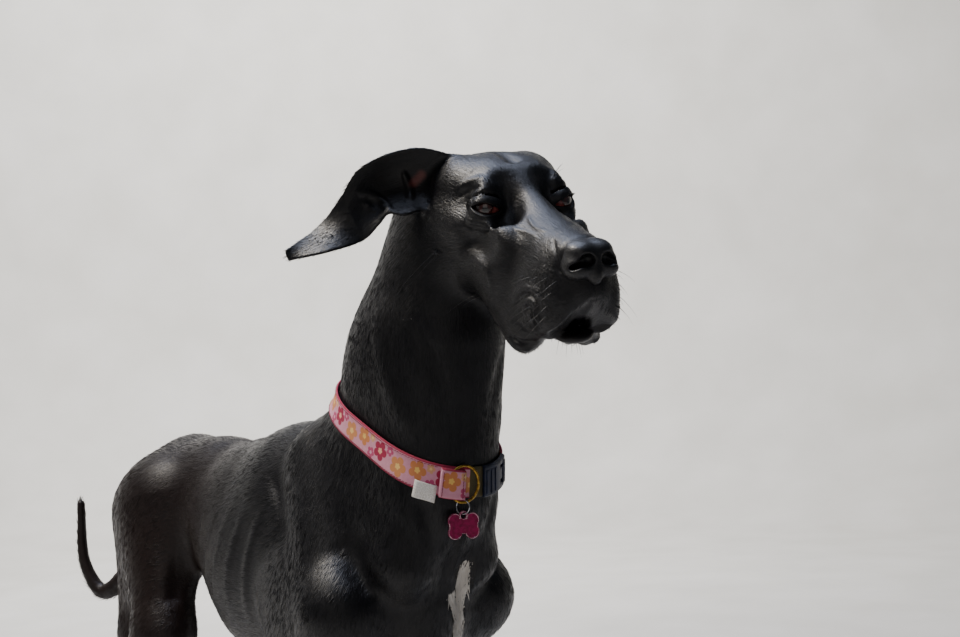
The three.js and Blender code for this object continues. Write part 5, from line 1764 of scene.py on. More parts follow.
@dataclass
class Bristles:
    """Whiskers, the bristles of the cheek and brow, and the lashes, as fine tapered rods."""

    skin: Skin
    thick: float = 0.32

    def surface_at(self, places: np.ndarray) -> np.ndarray:
        """The skin's places nearest to given ones."""
        for _ in range(6):
            slope = self.skin.shape.slope(places)
            gap = self.skin.shape.value(places) + COAT_DEPTH
            places = places - gap[:, None] * slope / np.maximum((slope**2).sum(1), 0.2)[:, None]
        return places

    def whiskers(self) -> list[np.ndarray]:
        """Lines of the muzzle's, cheek's and brow's bristles."""
        rng = np.random.default_rng(SEED)
        spots, ways, lengths = [], [], []
        for s in SIDES:
            for row in range(4):
                for k in range(5):
                    down, back = 58 + row * 12 + k * 1.5, k * 13 + row * 3
                    spots.append(in_head(s * (30 + row * 2.5), 158 - back, -down))
                    ways.append(HEAD_TURN @ at(s * 0.8, -0.35 - 0.12 * k, -0.35 - 0.1 * row))
                    lengths.append(rng.uniform(14, 34))
            for k in range(3):
                spots.append(in_head(s * 81, -59 + k, -53 - k * 1.5))
                ways.append(HEAD_TURN @ at(s * 0.85, -0.2 - 0.1 * k, -0.75))
                lengths.append((58, 34, 22)[k])
                spots.append(in_head(s * (46 - 3 * k), -10 + 6 * k, 33))
                ways.append(HEAD_TURN @ at(s * 0.45, 0.5, 0.8))
                lengths.append(rng.uniform(12, 20))
            for k in range(2):
                spots.append(in_head(s * 56, -20 + 9 * k, -104))
                ways.append(HEAD_TURN @ at(s * 0.75, -0.7, -0.35))
                lengths.append((42, 24)[k])
        for k in range(9):
            spots.append(in_head(-16 + 4 * k, 132 - abs(4 - k) * 3, -132))
            ways.append(HEAD_TURN @ at((k - 4) * 0.08, 0.25, -1))
            lengths.append(rng.uniform(7, 15))
        roots = self.surface_at(np.array(spots))
        lines = []
        for root, way, length in zip(roots, unit(np.array(ways)), lengths):
            way = unit(way + rng.normal(0, 0.1, 3))
            sag = np.array([0, 0.25, -1.0]) * length * 0.22
            t = np.linspace(0, 1, 8)[:, None]
            lines.append(root - way * 1.5 + way * length * t + sag * t**2)
        return lines

    def lashes(self) -> list[np.ndarray]:
        """Short lashes on both upper lids."""
        lines = []
        for s in SIDES:
            axes, centre = lid_axes(s), eye_centre(s)
            for x in np.linspace(-10, 12, 23):
                high = 6.6 * (1 - (x / 15.4) ** 2)
                root = np.array([x, -math.sqrt(16.4**2 - x * x - high * high), high + 0.6])
                way = unit(np.array([x * 0.03, -1.0, 0.25]))
                t = np.linspace(0, 1, 6)[:, None]
                line = root + way * 5.0 * t + np.array([0, 0, 1.6]) * t**2
                lines.append(line @ axes.T + centre)
        return lines

    def build(self) -> list[Object]:
        """The whiskers and the lashes."""
        made = []
        for name, lines in (("whiskers", self.whiskers()), ("lashes", self.lashes())):
            rods = [tube(line, self.thick * np.linspace(1, 0.15, len(line)), 4) for line in lines]
            made.append(solid(name, joined(rods)))
        return made


@dataclass
class Eyes:
    """Both eyeballs, reddish brown, with a clear raised cornea and a round pupil."""

    radius: float = EYE_RADIUS
    iris: float = 8.6
    bulge: float = 0.9

    def build(self) -> list[Object]:
        """One object an eye."""
        return [self.ball(s) for s in SIDES]

    def ball(self, s: int) -> Object:
        """One eyeball with its pole at the pupil."""
        rings, around = 40, 56
        angle = np.pi * (np.arange(1, rings) / rings) ** 1.15
        turn = np.linspace(0, 2 * np.pi, around, endpoint=False)
        a, t = np.meshgrid(angle, turn, indexing="ij")
        local = np.stack([np.sin(a) * np.cos(t), -np.cos(a), np.sin(a) * np.sin(t)], -1).reshape(-1, 3)
        local = np.concatenate([[[0, -1, 0]], local, [[0, 1, 0]]])
        off = np.linalg.norm(local[:, [0, 2]], axis=1) * self.radius
        front = local[:, 1] < 0
        raised = self.bulge * smooth_step((self.iris + 1.2 - off) / 4.0) * front
        points = local * (self.radius - 0.2 + raised)[:, None]
        faces = [[0, 1 + (k + 1) % around, 1 + k] for k in range(around)]
        faces += ring_quads(rings - 1, around, 1)
        last = len(points) - 1
        start = 1 + (rings - 2) * around
        faces += [[last, start + k, start + (k + 1) % around] for k in range(around)]
        axes = HEAD_TURN @ turn_about("Z", s * EYE_OUTWARD)
        centre = eye_centre(s)
        name = "eyeball_right" if s < 0 else "eyeball_left"
        mesh = tidy(mesh_of(name, points @ axes.T + centre, faces))
        give(mesh, "eye_place", points / self.radius)
        return new_object(name, mesh)


def vertex_normals(points: np.ndarray, faces: np.ndarray) -> np.ndarray:
    """Outward normals of a mesh of quads, one a point."""
    across = np.cross(points[faces[:, 2]] - points[faces[:, 0]], points[faces[:, 3]] - points[faces[:, 1]])
    total = np.zeros_like(points)
    for k in range(4):
        np.add.at(total, faces[:, k], across)
    return unit(total)


@dataclass
class Lids:
    """The rims of the lids round each eye: bare wet margins that run out into the coat."""

    skin: Skin
    half_width: float = 15.4
    above: float = 6.6
    below: float = 4.3
    steps: int = 96

    def build(self) -> list[Object]:
        """One ring an eye."""
        closed = Field(self.skin.shape.forms, self.skin.shape.carved, self.skin.shape.filled)
        closed.raised = self.skin.shape.raised
        return [self.ring(s, closed) for s in SIDES]

    def ring(self, s: int, closed: Field) -> Object:
        """The rims of one eye's two lids."""
        axes, centre = lid_axes(s), eye_centre(s)
        turn = np.linspace(0, 2 * np.pi, self.steps, endpoint=False)
        height = np.where(np.sin(turn) > 0, self.above, self.below)
        rise = height * np.sin(turn) * np.abs(np.sin(turn)) ** 0.75
        outline = np.stack([self.half_width * np.cos(turn), rise], 1)
        away = np.stack([np.cos(turn) * 0.45, np.sin(turn)], 1)
        away /= np.linalg.norm(away, axis=1, keepdims=True)
        rows = []
        for spread, radius in ((1.6, -0.6), (0.3, 0.1), (0.0, 0.9), (0.5, 1.7)):
            flat = outline + away * spread
            full = EYE_RADIUS + radius
            deep = np.sqrt(np.maximum(full**2 - (flat**2).sum(1), (6.0 + radius) ** 2))
            rows.append(np.stack([flat[:, 0], -deep, flat[:, 1]], 1))
        for spread, proud in ((1.6, 0.3), (3.2, 0.5), (5.0, 0.35), (7.0, 0.0), (8.6, -1.0)):
            flat = outline + away * spread
            rows.append(self.on_lid(s, flat, proud, closed))
        points = np.concatenate(rows) @ axes.T + centre
        n = self.steps
        faces = np.array(ring_quads(len(rows), n))
        normals = vertex_normals(points, faces)
        outward = ((points - centre) * normals).sum(1).mean()
        if outward < 0:
            faces, normals = faces[:, ::-1], -normals
        name = "lids_right" if s < 0 else "lids_left"
        bare = np.repeat([1, 1, 1, 0.85, 0.35, 0.08, 0, 0, 0], n)
        return self.skin.dress(name, Surface(points, faces, normals), {"bare": bare})

    def on_lid(self, s: int, flat: np.ndarray, proud: float, closed: Field) -> np.ndarray:
        """Places on the closed lid's surface in front of flat ones, a little proud of it."""
        axes, centre = lid_axes(s), eye_centre(s)
        near, far = np.full(len(flat), 2.0), np.full(len(flat), 34.0)
        for _ in range(18):
            mid = (near + far) / 2
            local = np.stack([flat[:, 0], -mid, flat[:, 1]], 1)
            inside = closed.value(local @ axes.T + centre) + COAT_DEPTH < 0
            near, far = np.where(inside, mid, near), np.where(inside, far, mid)
        return np.stack([flat[:, 0], -(near + proud), flat[:, 1]], 1)


@dataclass
class Nose:
    """The nose pad with its nostrils."""

    cell: float = 1.25

    def build(self) -> Object:
        """The pad as a fine skin."""
        shape = Field(nose_forms())
        shape.cut = both(self.nostril)
        low, high = in_head(0, 160, -42) - 44, in_head(0, 160, -42) + 44
        axes = [np.arange(low[i], high[i], self.cell) for i in range(3)]
        surface = Skinner(shape, axes, 0.4).surface()
        return new_object("nose_pad", mesh_of("nose_pad", surface.points, surface.faces, surface.normals))

    def nostril(self, s: int) -> list[Form]:
        """The round of one nostril and the slit that runs back from it."""
        return [
            head_lobe((3 + s * 13, 187, -34), (8, 13, 6.5), 3, yaw=s * 24),
            Lobe(in_head(3 + s * 21, 179, -38), (9, 8, 3), 3, HEAD_TURN @ turn_about("Y", s * 26)),
        ]


@dataclass
class Claws:
    """Four black curved claws a paw."""

    base: float = 5.6
    point: float = 1.2

    def build(self) -> list[Object]:
        """One object a paw."""
        made = []
        for end, paw in PAWS.items():
            for s in SIDES:
                side = "right" if s < 0 else "left"
                parts = [self.claw(paw.toe_line(s, place)["tip"]) for place in Paw.PLACES]
                made.append(solid(f"claws_{end}_{side}", joined(parts)))
        return made

    def claw(self, tip: np.ndarray) -> Surface:
        """One claw from inside the toe's tip down to the floor."""
        a, b, c = (tip + at(0, *step) for step in ((-4, 4), (14, 5), (22, -9.5)))
        t = np.linspace(0, 1, 12)[:, None]
        line = (1 - t) ** 2 * a + 2 * t * (1 - t) * b + t**2 * c
        return tube(line, self.base + (self.point - self.base) * t[:, 0] ** 1.2, 10, 0.8)


@dataclass
class Collar:
    """A printed webbing collar with its keeper, buckle, label, rings and tag."""

    neck: Field
    half: float = COLLAR_WIDTH / 2
    inner: float = COLLAR_CLEARANCE
    outer: float = COLLAR_CLEARANCE + COLLAR_THICKNESS
    keeper_out: float = COLLAR_CLEARANCE + COLLAR_THICKNESS + 7.6
    degrees_a_row: float = 2.0

    def on(self, degrees: np.ndarray | float, up: np.ndarray | float, out: np.ndarray | float) -> np.ndarray:
        """Places by degrees round the neck from its ring towards her left, across the width, and out."""
        rows = (np.atleast_1d(np.asarray(v, float)) for v in (degrees, up, out))
        degrees, up, out = np.broadcast_arrays(*rows)
        angle = np.radians(degrees + COLLAR_SLIP)[:, None]
        ray = COLLAR_AHEAD * np.cos(angle) + np.array([1.0, 0, 0]) * np.sin(angle)
        start = COLLAR_MIDDLE + COLLAR_UP * up[:, None]
        near, far = np.full(len(degrees), 40.0), np.full(len(degrees), 190.0)
        for _ in range(22):
            mid = (near + far) / 2
            inside = self.neck.value(start + ray * mid[:, None]) < 0
            near, far = np.where(inside, mid, near), np.where(inside, far, mid)
        return start + ray * (near + out)[:, None]

    def strap(self, name: str, turn: Range, across: Range, out: Range) -> Object:
        """A strap with rounded edges, with its own flat coordinates stored as strap_u and strap_v.

        Args:
            name: the object's name.
            turn: where round the neck it starts and stops, in degrees.
            across: its lower and upper edge.
            out: how far its inner and outer face stand off the neck.

        Returns:
            The object, without its material.
        """
        start, stop = turn
        low, high = across
        inner, outer = out
        thick = outer - inner
        round_off = min(thick * 0.45, 1.2)
        profile = [
            (low + round_off, inner),
            (low, inner + round_off),
            (low, outer - round_off),
            (low + round_off, outer),
            *[(low + (high - low) * k / 8, outer) for k in range(1, 8)],
            (high - round_off, outer),
            (high, outer - round_off),
            (high, inner + round_off),
            (high - round_off, inner),
            *[(low + (high - low) * k / 4, inner) for k in (3, 2, 1)],
        ]
        count = max(2, round((stop - start) / self.degrees_a_row)) + 1
        angles = np.linspace(start, stop, count)
        ups = np.array([p[0] for p in profile])
        outs = np.array([p[1] for p in profile])
        a, u = np.meshgrid(angles, ups, indexing="ij")
        surface = self.on(a.ravel(), u.ravel(), np.tile(outs, count)).reshape(count, len(profile), 3)
        points = surface.reshape(-1, 3)
        n = len(profile)
        faces = ring_quads(count, n)
        faces.append(list(range(n))[::-1])
        faces.append([(count - 1) * n + k for k in range(n)])
        mesh = tidy(mesh_of(name, points, faces), doubles=False)
        middle = surface.mean(1)
        run = np.concatenate([[0], np.cumsum(np.linalg.norm(np.diff(middle, axis=0), axis=1))])
        give(mesh, "strap_u", np.repeat(run, n))
        give(mesh, "strap_v", np.tile(ups, count))
        return new_object(name, mesh)

    def build(self) -> dict[str, Object]:
        """All of the collar's pieces by name."""
        h, seam = self.half, 0.25
        on_band, label_out = self.outer + 0.3, self.outer + 1.9
        band = (36 + seam, 372 - seam)
        pieces = {
            "webbing_band": self.strap("webbing_band", band, (-h, h), (self.inner, self.outer)),
            "buckle_body": self.buckle(),
            "sewn_label": self.strap("sewn_label", (-24, -13), (-h - 9, -h + 11), (on_band, label_out)),
            "webbing_keeper": self.strap(
                "webbing_keeper", (-12, 0), (1 - h, h - 1), (on_band, self.keeper_out)
            ),
        }
        pieces.update(self.rings_and_tag())
        return pieces

    def buckle(self) -> Object:
        """The side-release buckle: a ribbed housing, a tongue and the prongs that snap into it, and one strap
        bar.
        """
        h = self.half
        ribs = (13.5, 17.0, 20.5, 33.0)
        parts = [
            self.strap("housing", (12, 26), (-h, h), (self.inner, 6.6)),
            self.strap("tongue", (25, 31), (-h * 0.42, h * 0.42), (self.inner, 5.6)),
            self.strap("prong_low", (25, 32), (-h, -h * 0.66), (self.inner, 6.2)),
            self.strap("prong_high", (25, 32), (h * 0.66, h), (self.inner, 6.2)),
            self.strap("bar", (31, 36), (-h, h), (self.inner, 6.6)),
            *(self.strap("rib", (a, a + 1.6), (-h * 0.8, h * 0.8), (6.0, 7.8)) for a in ribs),
        ]
        work = bmesh.new()
        for part in parts:
            work.from_mesh(part.data)
            bpy.data.objects.remove(part)
        mesh = bpy.data.meshes.new("buckle_body")
        work.to_mesh(mesh)
        work.free()
        mesh.polygons.foreach_set("use_smooth", np.zeros(len(mesh.polygons), bool))
        return new_object("buckle_body", mesh)

    def stitches(self, material: Material) -> Object:
        """Thread stitches along both bound edges and across the keeper's ends."""
        h, pitch = self.half, 3.4
        rows = []
        for up in (-h + 3.0, h - 3.0):
            angles = np.arange(-250, -14, 1.9)
            rows.append((angles, np.full(len(angles), up), self.outer, True))
        for angle in (-11.0, -1.2):
            ups = np.arange(-h + 4, h - 3, pitch)
            rows.append((np.full(len(ups), angle), ups, self.keeper_out, False))
        places, ahead, out = [], [], []
        for angles, ups, level, along in rows:
            spots = self.on(angles, ups, level + 0.1)
            run = unit(self.on(angles + 0.6, ups, level) - self.on(angles - 0.6, ups, level))
            lift = unit(self.on(angles, ups, level + 2) - self.on(angles, ups, level))
            places.append(spots)
            ahead.append(run if along else np.cross(lift, run))
            out.append(lift)
        places = np.concatenate(places)
        size = np.tile([2.5 * MM, 0.8 * MM, 0.7 * MM], (len(places), 1))
        values = {"ahead": np.concatenate(ahead), "out": np.concatenate(out), "size": size}
        arch = [[-0.5, 0, -0.3], [-0.35, 0, 0.2], [0, 0, 0.4], [0.35, 0, 0.2], [0.5, 0, -0.3]]
        thread = tube(np.array(arch), 0.45, 6)
        mesh = planted("stitches", places, values, (thread.points.tolist(), thread.faces), material)
        return new_object("stitches", mesh)

    def rings_and_tag(self) -> dict[str, Object]:
        """The brass ring, the split ring and the tag."""
        angle, drop, radius, wire = 0.0, 0.0, 20.0, 1.7
        centre = self.on(angle, drop, self.outer + wire + 0.6)[0]
        up = unit((self.on(angle, 14, 0) - self.on(angle, -14, 0))[0])
        out = unit(np.cross(unit((self.on(angle + 12, 0, 0) - self.on(angle - 12, 0, 0))[0]), up))
        aside = np.cross(up, out)
        turn = np.linspace(0, 2 * np.pi, 97)
        wide, high = np.cos(turn) * radius * 0.94, np.sin(turn) * radius * 1.07
        ring_line = centre + np.outer(wide, aside) + np.outer(high, up)
        foot = centre - up * radius * 1.07
        small, thin = 8.5, 1.1
        split_centre = foot - np.array([0, 0, small - thin - wire - 0.5])
        ways = [self.facing(-62), self.facing(-14)]
        x, y, z = ways[0]
        loop = np.linspace(0, 4 * np.pi, 121)
        lift = (loop / (2 * np.pi) - 1) * thin * 0.55
        turned = np.outer(np.cos(loop) * small, x) + np.outer(np.sin(loop) * small, y)
        split_line = split_centre + turned + np.outer(lift, z)
        pieces = {
            "brass_ring": solid("brass_ring", tube(ring_line, wire, 14)),
            "split_ring": solid("split_ring", tube(split_line, thin * 0.55, 8)),
        }
        hole = 3.5
        top = split_centre - np.array([0, 0, small + hole - thin - 0.9])
        pieces["bone_tag"] = self.tag(top, ways[1])
        return pieces

    def facing(self, degrees: float) -> tuple[np.ndarray, np.ndarray, np.ndarray]:
        """Axes of a hanging piece that faces that way from straight ahead."""
        a = math.radians(degrees)
        out = at(math.sin(a), math.cos(a), 0)
        up = np.array([0.0, 0, 1])
        return np.cross(up, out), up, out

    def tag(self, top: np.ndarray, axes: tuple) -> Object:
        """The bone-shaped tag, a plate with a raised rim and a hole."""
        width, knob, thick, waist, hole = 38.0, 8.2, 1.6, 8.0, 3.5
        hole_up, rim = 12.0, 5.6
        reach, lift = width / 2 - knob, knob * 0.82

        def arc(x: float, y: float, r: float, start: float, stop: float, steps: int = 14) -> np.ndarray:
            """Points on an arc, its ends in half turns."""
            a = np.linspace(start, stop, steps) * np.pi
            return np.stack([x + r * np.cos(a), y + r * np.sin(a)], 1)

        outline = np.concatenate(
            [
                arc(reach, lift, knob, -0.18, 0.92),
                [[rim, waist]],
                arc(0, hole_up, rim, -0.2, 1.2),
                arc(-reach, lift, knob, 0.08, 1.18),
                arc(-reach, -lift, knob, 0.82, 1.92),
                arc(reach, -lift, knob, 1.08, 2.18),
            ]
        )
        curve = bpy.data.curves.new("tag_outline", "CURVE")
        curve.dimensions = "2D"
        curve.fill_mode = "BOTH"
        curve.extrude = thick / 2 * MM - 0.0003
        curve.bevel_depth = 0.0003
        curve.bevel_resolution = 2
        for ring in (outline, arc(0, hole_up, hole, 0, 2, 29)[:-1][::-1]):
            spline = curve.splines.new("POLY")
            spline.points.add(len(ring) - 1)
            spline.points.foreach_set("co", np.c_[ring * MM, np.zeros(len(ring)), np.ones(len(ring))].ravel())
            spline.use_cyclic_u = True
        flat = bpy.data.objects.new("tag_outline", curve)
        bpy.context.scene.collection.objects.link(flat)
        mesh = bpy.data.meshes.new_from_object(flat)
        bpy.data.objects.remove(flat)
        mesh.name = "bone_tag"
        x, y, z = axes
        basis = Matrix((*np.stack([x, y, z], 1).tolist(),)).to_4x4()
        place = ORIGIN.metres(top)
        work = bmesh.new()
        work.from_mesh(mesh)
        bmesh.ops.remove_doubles(work, verts=work.verts, dist=1e-6)
        plate = len(work.faces)
        for side in (-1, 1):
            for ring, thin in ((outline, 0.55), (arc(0, hole_up, hole + 0.5, 0, 2, 29)[:-1], 0.45)):
                closed = np.concatenate([ring, ring[:2]])
                inset = np.c_[closed * (1 - 0.55 / 19), np.full(len(closed), side * thick / 2)]
                rim = tube(inset, thin, 6)
                bead = bpy.data.meshes.new("rim")
                bead.from_pydata((rim.points * MM).tolist(), [], rim.faces)
                work.from_mesh(bead)
                bpy.data.meshes.remove(bead)
        work.faces.ensure_lookup_table()
        for face in work.faces[plate:]:
            face.material_index = 1
            face.smooth = True
        bmesh.ops.recalc_face_normals(work, faces=work.faces)
        work.to_mesh(mesh)
        work.free()
        mesh.transform(Matrix.Translation(Vector(place)) @ basis @ Matrix.Translation((0, -hole_up * MM, 0)))
        return new_object("bone_tag", mesh)


@dataclass
class Camera:
    """The photograph's viewpoint, from a match of its outline."""

    place: tuple[float, float, float] = (-981.0, 1869.0, 829.0)
    yaw: float = 35.3
    pitch: float = 2.15
    roll: float = -2.05

    def build(self) -> None:
        """Makes the camera and lets the scene use it."""
        yaw, pitch, roll = (math.radians(v) for v in (self.yaw, self.pitch, self.roll))
        ahead = at(math.sin(yaw) * math.cos(pitch), -math.cos(yaw) * math.cos(pitch), math.sin(pitch))
        right = unit(np.cross(ahead, np.array([0.0, 0, 1])))
        up = np.cross(right, ahead)
        turned_right = math.cos(roll) * right + math.sin(roll) * up
        turned_up = -math.sin(roll) * right + math.cos(roll) * up
        data = bpy.data.cameras.new("camera")
        data.sensor_width = SENSOR_WIDTH
        data.lens = FOCAL_PIXELS * SENSOR_WIDTH / IMAGE_WIDTH
        data.clip_start = 0.05
        camera = bpy.data.objects.new("camera", data)
        bpy.context.scene.collection.objects.link(camera)
        axes = np.stack([turned_right, turned_up, -ahead], 1)
        place = Vector(ORIGIN.metres(at(*self.place)))
        camera.matrix_world = Matrix.Translation(place) @ Matrix(axes.tolist()).to_4x4()
        bpy.context.scene.camera = camera


@dataclass(frozen=True)
class EyeFinish:
    """A wet eyeball: reddish-brown iris with dark fibres, black pupil, pink haw at the inner corner."""

    iris: str = "481509"
    iris_dark: str = "180705"
    pupil: str = "050303"
    sclera: str = "1f100e"
    haw: str = "84403c"

    def make(self, s: int) -> Material:
        """The material of one side's eye."""
        material, tree, shader = blank_material("wet_eye_right" if s < 0 else "wet_eye_left")
        place = add_node(tree, "ShaderNodeAttribute", attribute_name="eye_place")
        parts = add_node(tree, "ShaderNodeSeparateXYZ", {0: place.outputs["Vector"]})
        flat = add_node(tree, "ShaderNodeCombineXYZ", {0: parts.outputs[0], 1: parts.outputs[2]})
        off = add_node(tree, "ShaderNodeVectorMath", {0: flat.outputs[0]}, operation="LENGTH")
        links = {0: parts.outputs[0], 1: parts.outputs[2]}
        angle = add_node(tree, "ShaderNodeMath", links, operation="ARCTAN2")
        polar = add_node(tree, "ShaderNodeCombineXYZ", {0: angle.outputs[0], 1: off.outputs["Value"]})
        wide = add_node(tree, "ShaderNodeMapping", {"Vector": polar.outputs[0], "Scale": (9.0, 3.0, 1.0)})
        fibre = add_node(tree, "ShaderNodeTexNoise", {"Vector": wide.outputs[0], "Scale": 1.6, "Detail": 3.0})
        links = {0: fibre.outputs["Fac"], 6: srgb(self.iris_dark), 7: srgb(self.iris)}
        iris = add_node(tree, "ShaderNodeMix", links, data_type="RGBA")
        rings = add_node(tree, "ShaderNodeValToRGB", {"Fac": off.outputs["Value"]})
        black, white = (0, 0, 0, 1), (1, 1, 1, 1)
        stops = ((0.0, black), (0.225, black), (0.25, white), (0.5, white), (0.56, black), (1.0, black))
        ramp_of(rings, stops)
        whites = add_node(tree, "ShaderNodeMapRange", {"Value": off.outputs["Value"], 1: 0.58, 2: 0.66})
        links = {0: rings.outputs["Color"], 6: srgb(self.pupil), 7: iris.outputs[2]}
        eye = add_node(tree, "ShaderNodeMix", links, data_type="RGBA")
        links = {0: whites.outputs[0], 6: eye.outputs[2], 7: srgb(self.sclera)}
        outer = add_node(tree, "ShaderNodeMix", links, data_type="RGBA")
        inner = add_node(tree, "ShaderNodeMath", {0: parts.outputs[0], 1: -float(s)}, operation="MULTIPLY")
        low = add_node(tree, "ShaderNodeMath", {0: parts.outputs[2], 1: 0.35}, operation="MULTIPLY")
        links = {0: inner.outputs[0], 1: low.outputs[0]}
        corner = add_node(tree, "ShaderNodeMath", links, operation="SUBTRACT")
        share = add_node(tree, "ShaderNodeMapRange", {"Value": corner.outputs[0], 1: 0.5, 2: 0.62})
        links = {0: share.outputs[0], 6: outer.outputs[2], 7: srgb(self.haw)}
        whole = add_node(tree, "ShaderNodeMix", links, data_type="RGBA")
        tree.links.new(whole.outputs[2], shader.inputs["Base Color"])
        shader.inputs["Roughness"].default_value = 0.16
        shader.inputs["Coat Weight"].default_value = 1.0
        shader.inputs["Coat Roughness"].default_value = 0.02
        shader.inputs["Coat IOR"].default_value = 1.376
        return material


@dataclass
class Studio:
    """A pale floor that sweeps up into the backdrop, and soft lights."""

    floor_colour: str = "c9c6c0"
    radius: float = 7.0
    bend: float = 1.6
    height: float = 4.6
    behind: float = 54.7

    def build(self) -> None:
        """Makes the floor, the lights and the sky."""
        turn = np.linspace(0, np.pi / 2, 10)
        rises = [(r, 0.0) for r in np.linspace(0.6, self.radius - self.bend, 8)]
        flat = self.radius - self.bend
        rises += [(flat + self.bend * math.sin(a), self.bend * (1 - math.cos(a))) for a in turn[1:]]
        rises.append((self.radius, self.height))
        around = 72
        angles = np.linspace(0, 2 * np.pi, around, endpoint=False)
        points = [(0.0, 0.0, 0.0)]
        points += [(r * math.cos(a), r * math.sin(a), z) for r, z in rises for a in angles]
        faces = [[0, 1 + k, 1 + (k + 1) % around] for k in range(around)]
        low = sum(z == 0 for _, z in rises) - 1
        for i in range(len(rises) - 1):
            for k in range(around):
                if i >= low and math.cos(angles[k] - math.radians(self.behind)) < 0.1:
                    continue
                n = (k + 1) % around
                near, far = 1 + i * around, 1 + (i + 1) * around
                faces.append([near + k, far + k, far + n, near + n])
        mesh = bpy.data.meshes.new("floor")
        mesh.from_pydata(points, [], faces)
        mesh.polygons.foreach_set("use_smooth", np.ones(len(faces), bool))
        floor = new_object("floor", mesh)
        material, tree, shader = blank_material("studio_floor")
        tone = add_node(tree, "ShaderNodeValToRGB", {"Fac": speckle(tree, 3.0)})
        ramp_of(tone, [(0.3, srgb(self.floor_colour)), (0.7, srgb("d3d0cb"))])
        tree.links.new(tone.outputs["Color"], shader.inputs["Base Color"])
        shader.inputs["Roughness"].default_value = 0.8
        mesh.materials.append(material)
        world = bpy.data.worlds.new("studio")
        bpy.context.scene.world = world
        world.use_nodes = True
        world.node_tree.nodes["Background"].inputs["Color"].default_value = srgb("dfe6f2")
        world.node_tree.nodes["Background"].inputs["Strength"].default_value = 0.13
        middle, wall = (0, -0.1, 0.6), (3.6, 6.0, 1.2)
        self.area("sky", (-0.3, 0.5, 3.6), 2.6, 130, "d6e2ff", middle)
        self.area("sun", (-1.3, 0.9, 3.4), 0.7, 120, "fff4e2", middle)
        self.area("fill", (-2.9, -2.6, 1.8), 2.4, 12, "fff6ee", middle)
        self.area("backdrop", (1.6, 3.2, 4.0), 3.0, 420, "ffffff", wall)

    def area(self, name: str, place: tuple, size: float, power: float, colour: str, to: tuple) -> None:
        """A square soft light that faces a place."""
        data = bpy.data.lights.new(name, "AREA")
        data.size = size
        data.energy = power
        data.color = srgb(colour)[:3]
        light = bpy.data.objects.new(name, data)
        bpy.context.scene.collection.objects.link(light)
        light.location = place
        light.rotation_euler = (Vector(to) - Vector(place)).to_track_quat("-Z", "Y").to_euler()


def speckle(tree: NodeTree, scale: float, detail: float = 3.0) -> NodeSocket:
    """Noise on a piece's own coordinates, in cells a metre."""
    place = add_node(tree, "ShaderNodeTexCoord")
    links = {"Vector": place.outputs["Object"], "Scale": scale, "Detail": detail}
    return add_node(tree, "ShaderNodeTexNoise", links).outputs["Fac"]


@dataclass(frozen=True)
class Leather:
    """The nose's wet leather: small pebbles parted by furrows, glossier on top of each, lighter in colour on
    their tops and darker in the furrows.
    """

    colour: str = "060607"
    pebble_tops: str = "111013"
    pebble: float = 1.5

    def make(self) -> Material:
        """The nose's material."""
        material, tree, shader = blank_material("nose_leather")
        place = add_node(tree, "ShaderNodeTexCoord")
        links = {"Vector": place.outputs["Object"], "Scale": 1000 / self.pebble}
        cells = add_node(tree, "ShaderNodeTexVoronoi", links, feature="SMOOTH_F1")
        tone = add_node(tree, "ShaderNodeValToRGB", {"Fac": cells.outputs["Distance"]})
        # Lighter on each pebble's top, darker in the furrows between them.
        ramp_of(tone, [(0.1, srgb(self.pebble_tops)), (0.6, srgb(self.colour))])
        tree.links.new(tone.outputs["Color"], shader.inputs["Base Color"])
        links = {"Value": cells.outputs["Distance"], 1: 0.1, 2: 0.7, 3: 0.34, 4: 0.6}
        gloss = add_node(tree, "ShaderNodeMapRange", links)
        tree.links.new(gloss.outputs[0], shader.inputs["Roughness"])
        links = {"Height": cells.outputs["Distance"], "Strength": 0.5, "Distance": 0.0005}
        pebbles = add_node(tree, "ShaderNodeBump", links, invert=True)
        tree.links.new(pebbles.outputs["Normal"], shader.inputs["Normal"])
        shader.inputs["Specular IOR Level"].default_value = 0.36
        shader.inputs["Coat Weight"].default_value = 0.12
        shader.inputs["Coat Roughness"].default_value = 0.2
        return material


@dataclass(frozen=True)
class Horn:
    """Claw horn or thick hair: dark, with paler growth streaks and a dull shine."""

    name: str
    dark: str
    light: str
    roughness: float

    def make(self) -> Material:
        """The material."""
        material, tree, shader = blank_material(self.name)
        grain = speckle(tree, 420.0)
        tone = add_node(tree, "ShaderNodeValToRGB", {"Fac": grain})
        ramp_of(tone, [(0.4, srgb(self.dark)), (0.7, srgb(self.light))])
        tree.links.new(tone.outputs["Color"], shader.inputs["Base Color"])
        links = {"Value": grain, 3: self.roughness - 0.08, 4: self.roughness + 0.14}
        gloss = add_node(tree, "ShaderNodeMapRange", links)
        tree.links.new(gloss.outputs[0], shader.inputs["Roughness"])
        bump = add_node(tree, "ShaderNodeBump", {"Height": grain, "Strength": 0.4, "Distance": 0.0004})
        tree.links.new(bump.outputs["Normal"], shader.inputs["Normal"])
        return material


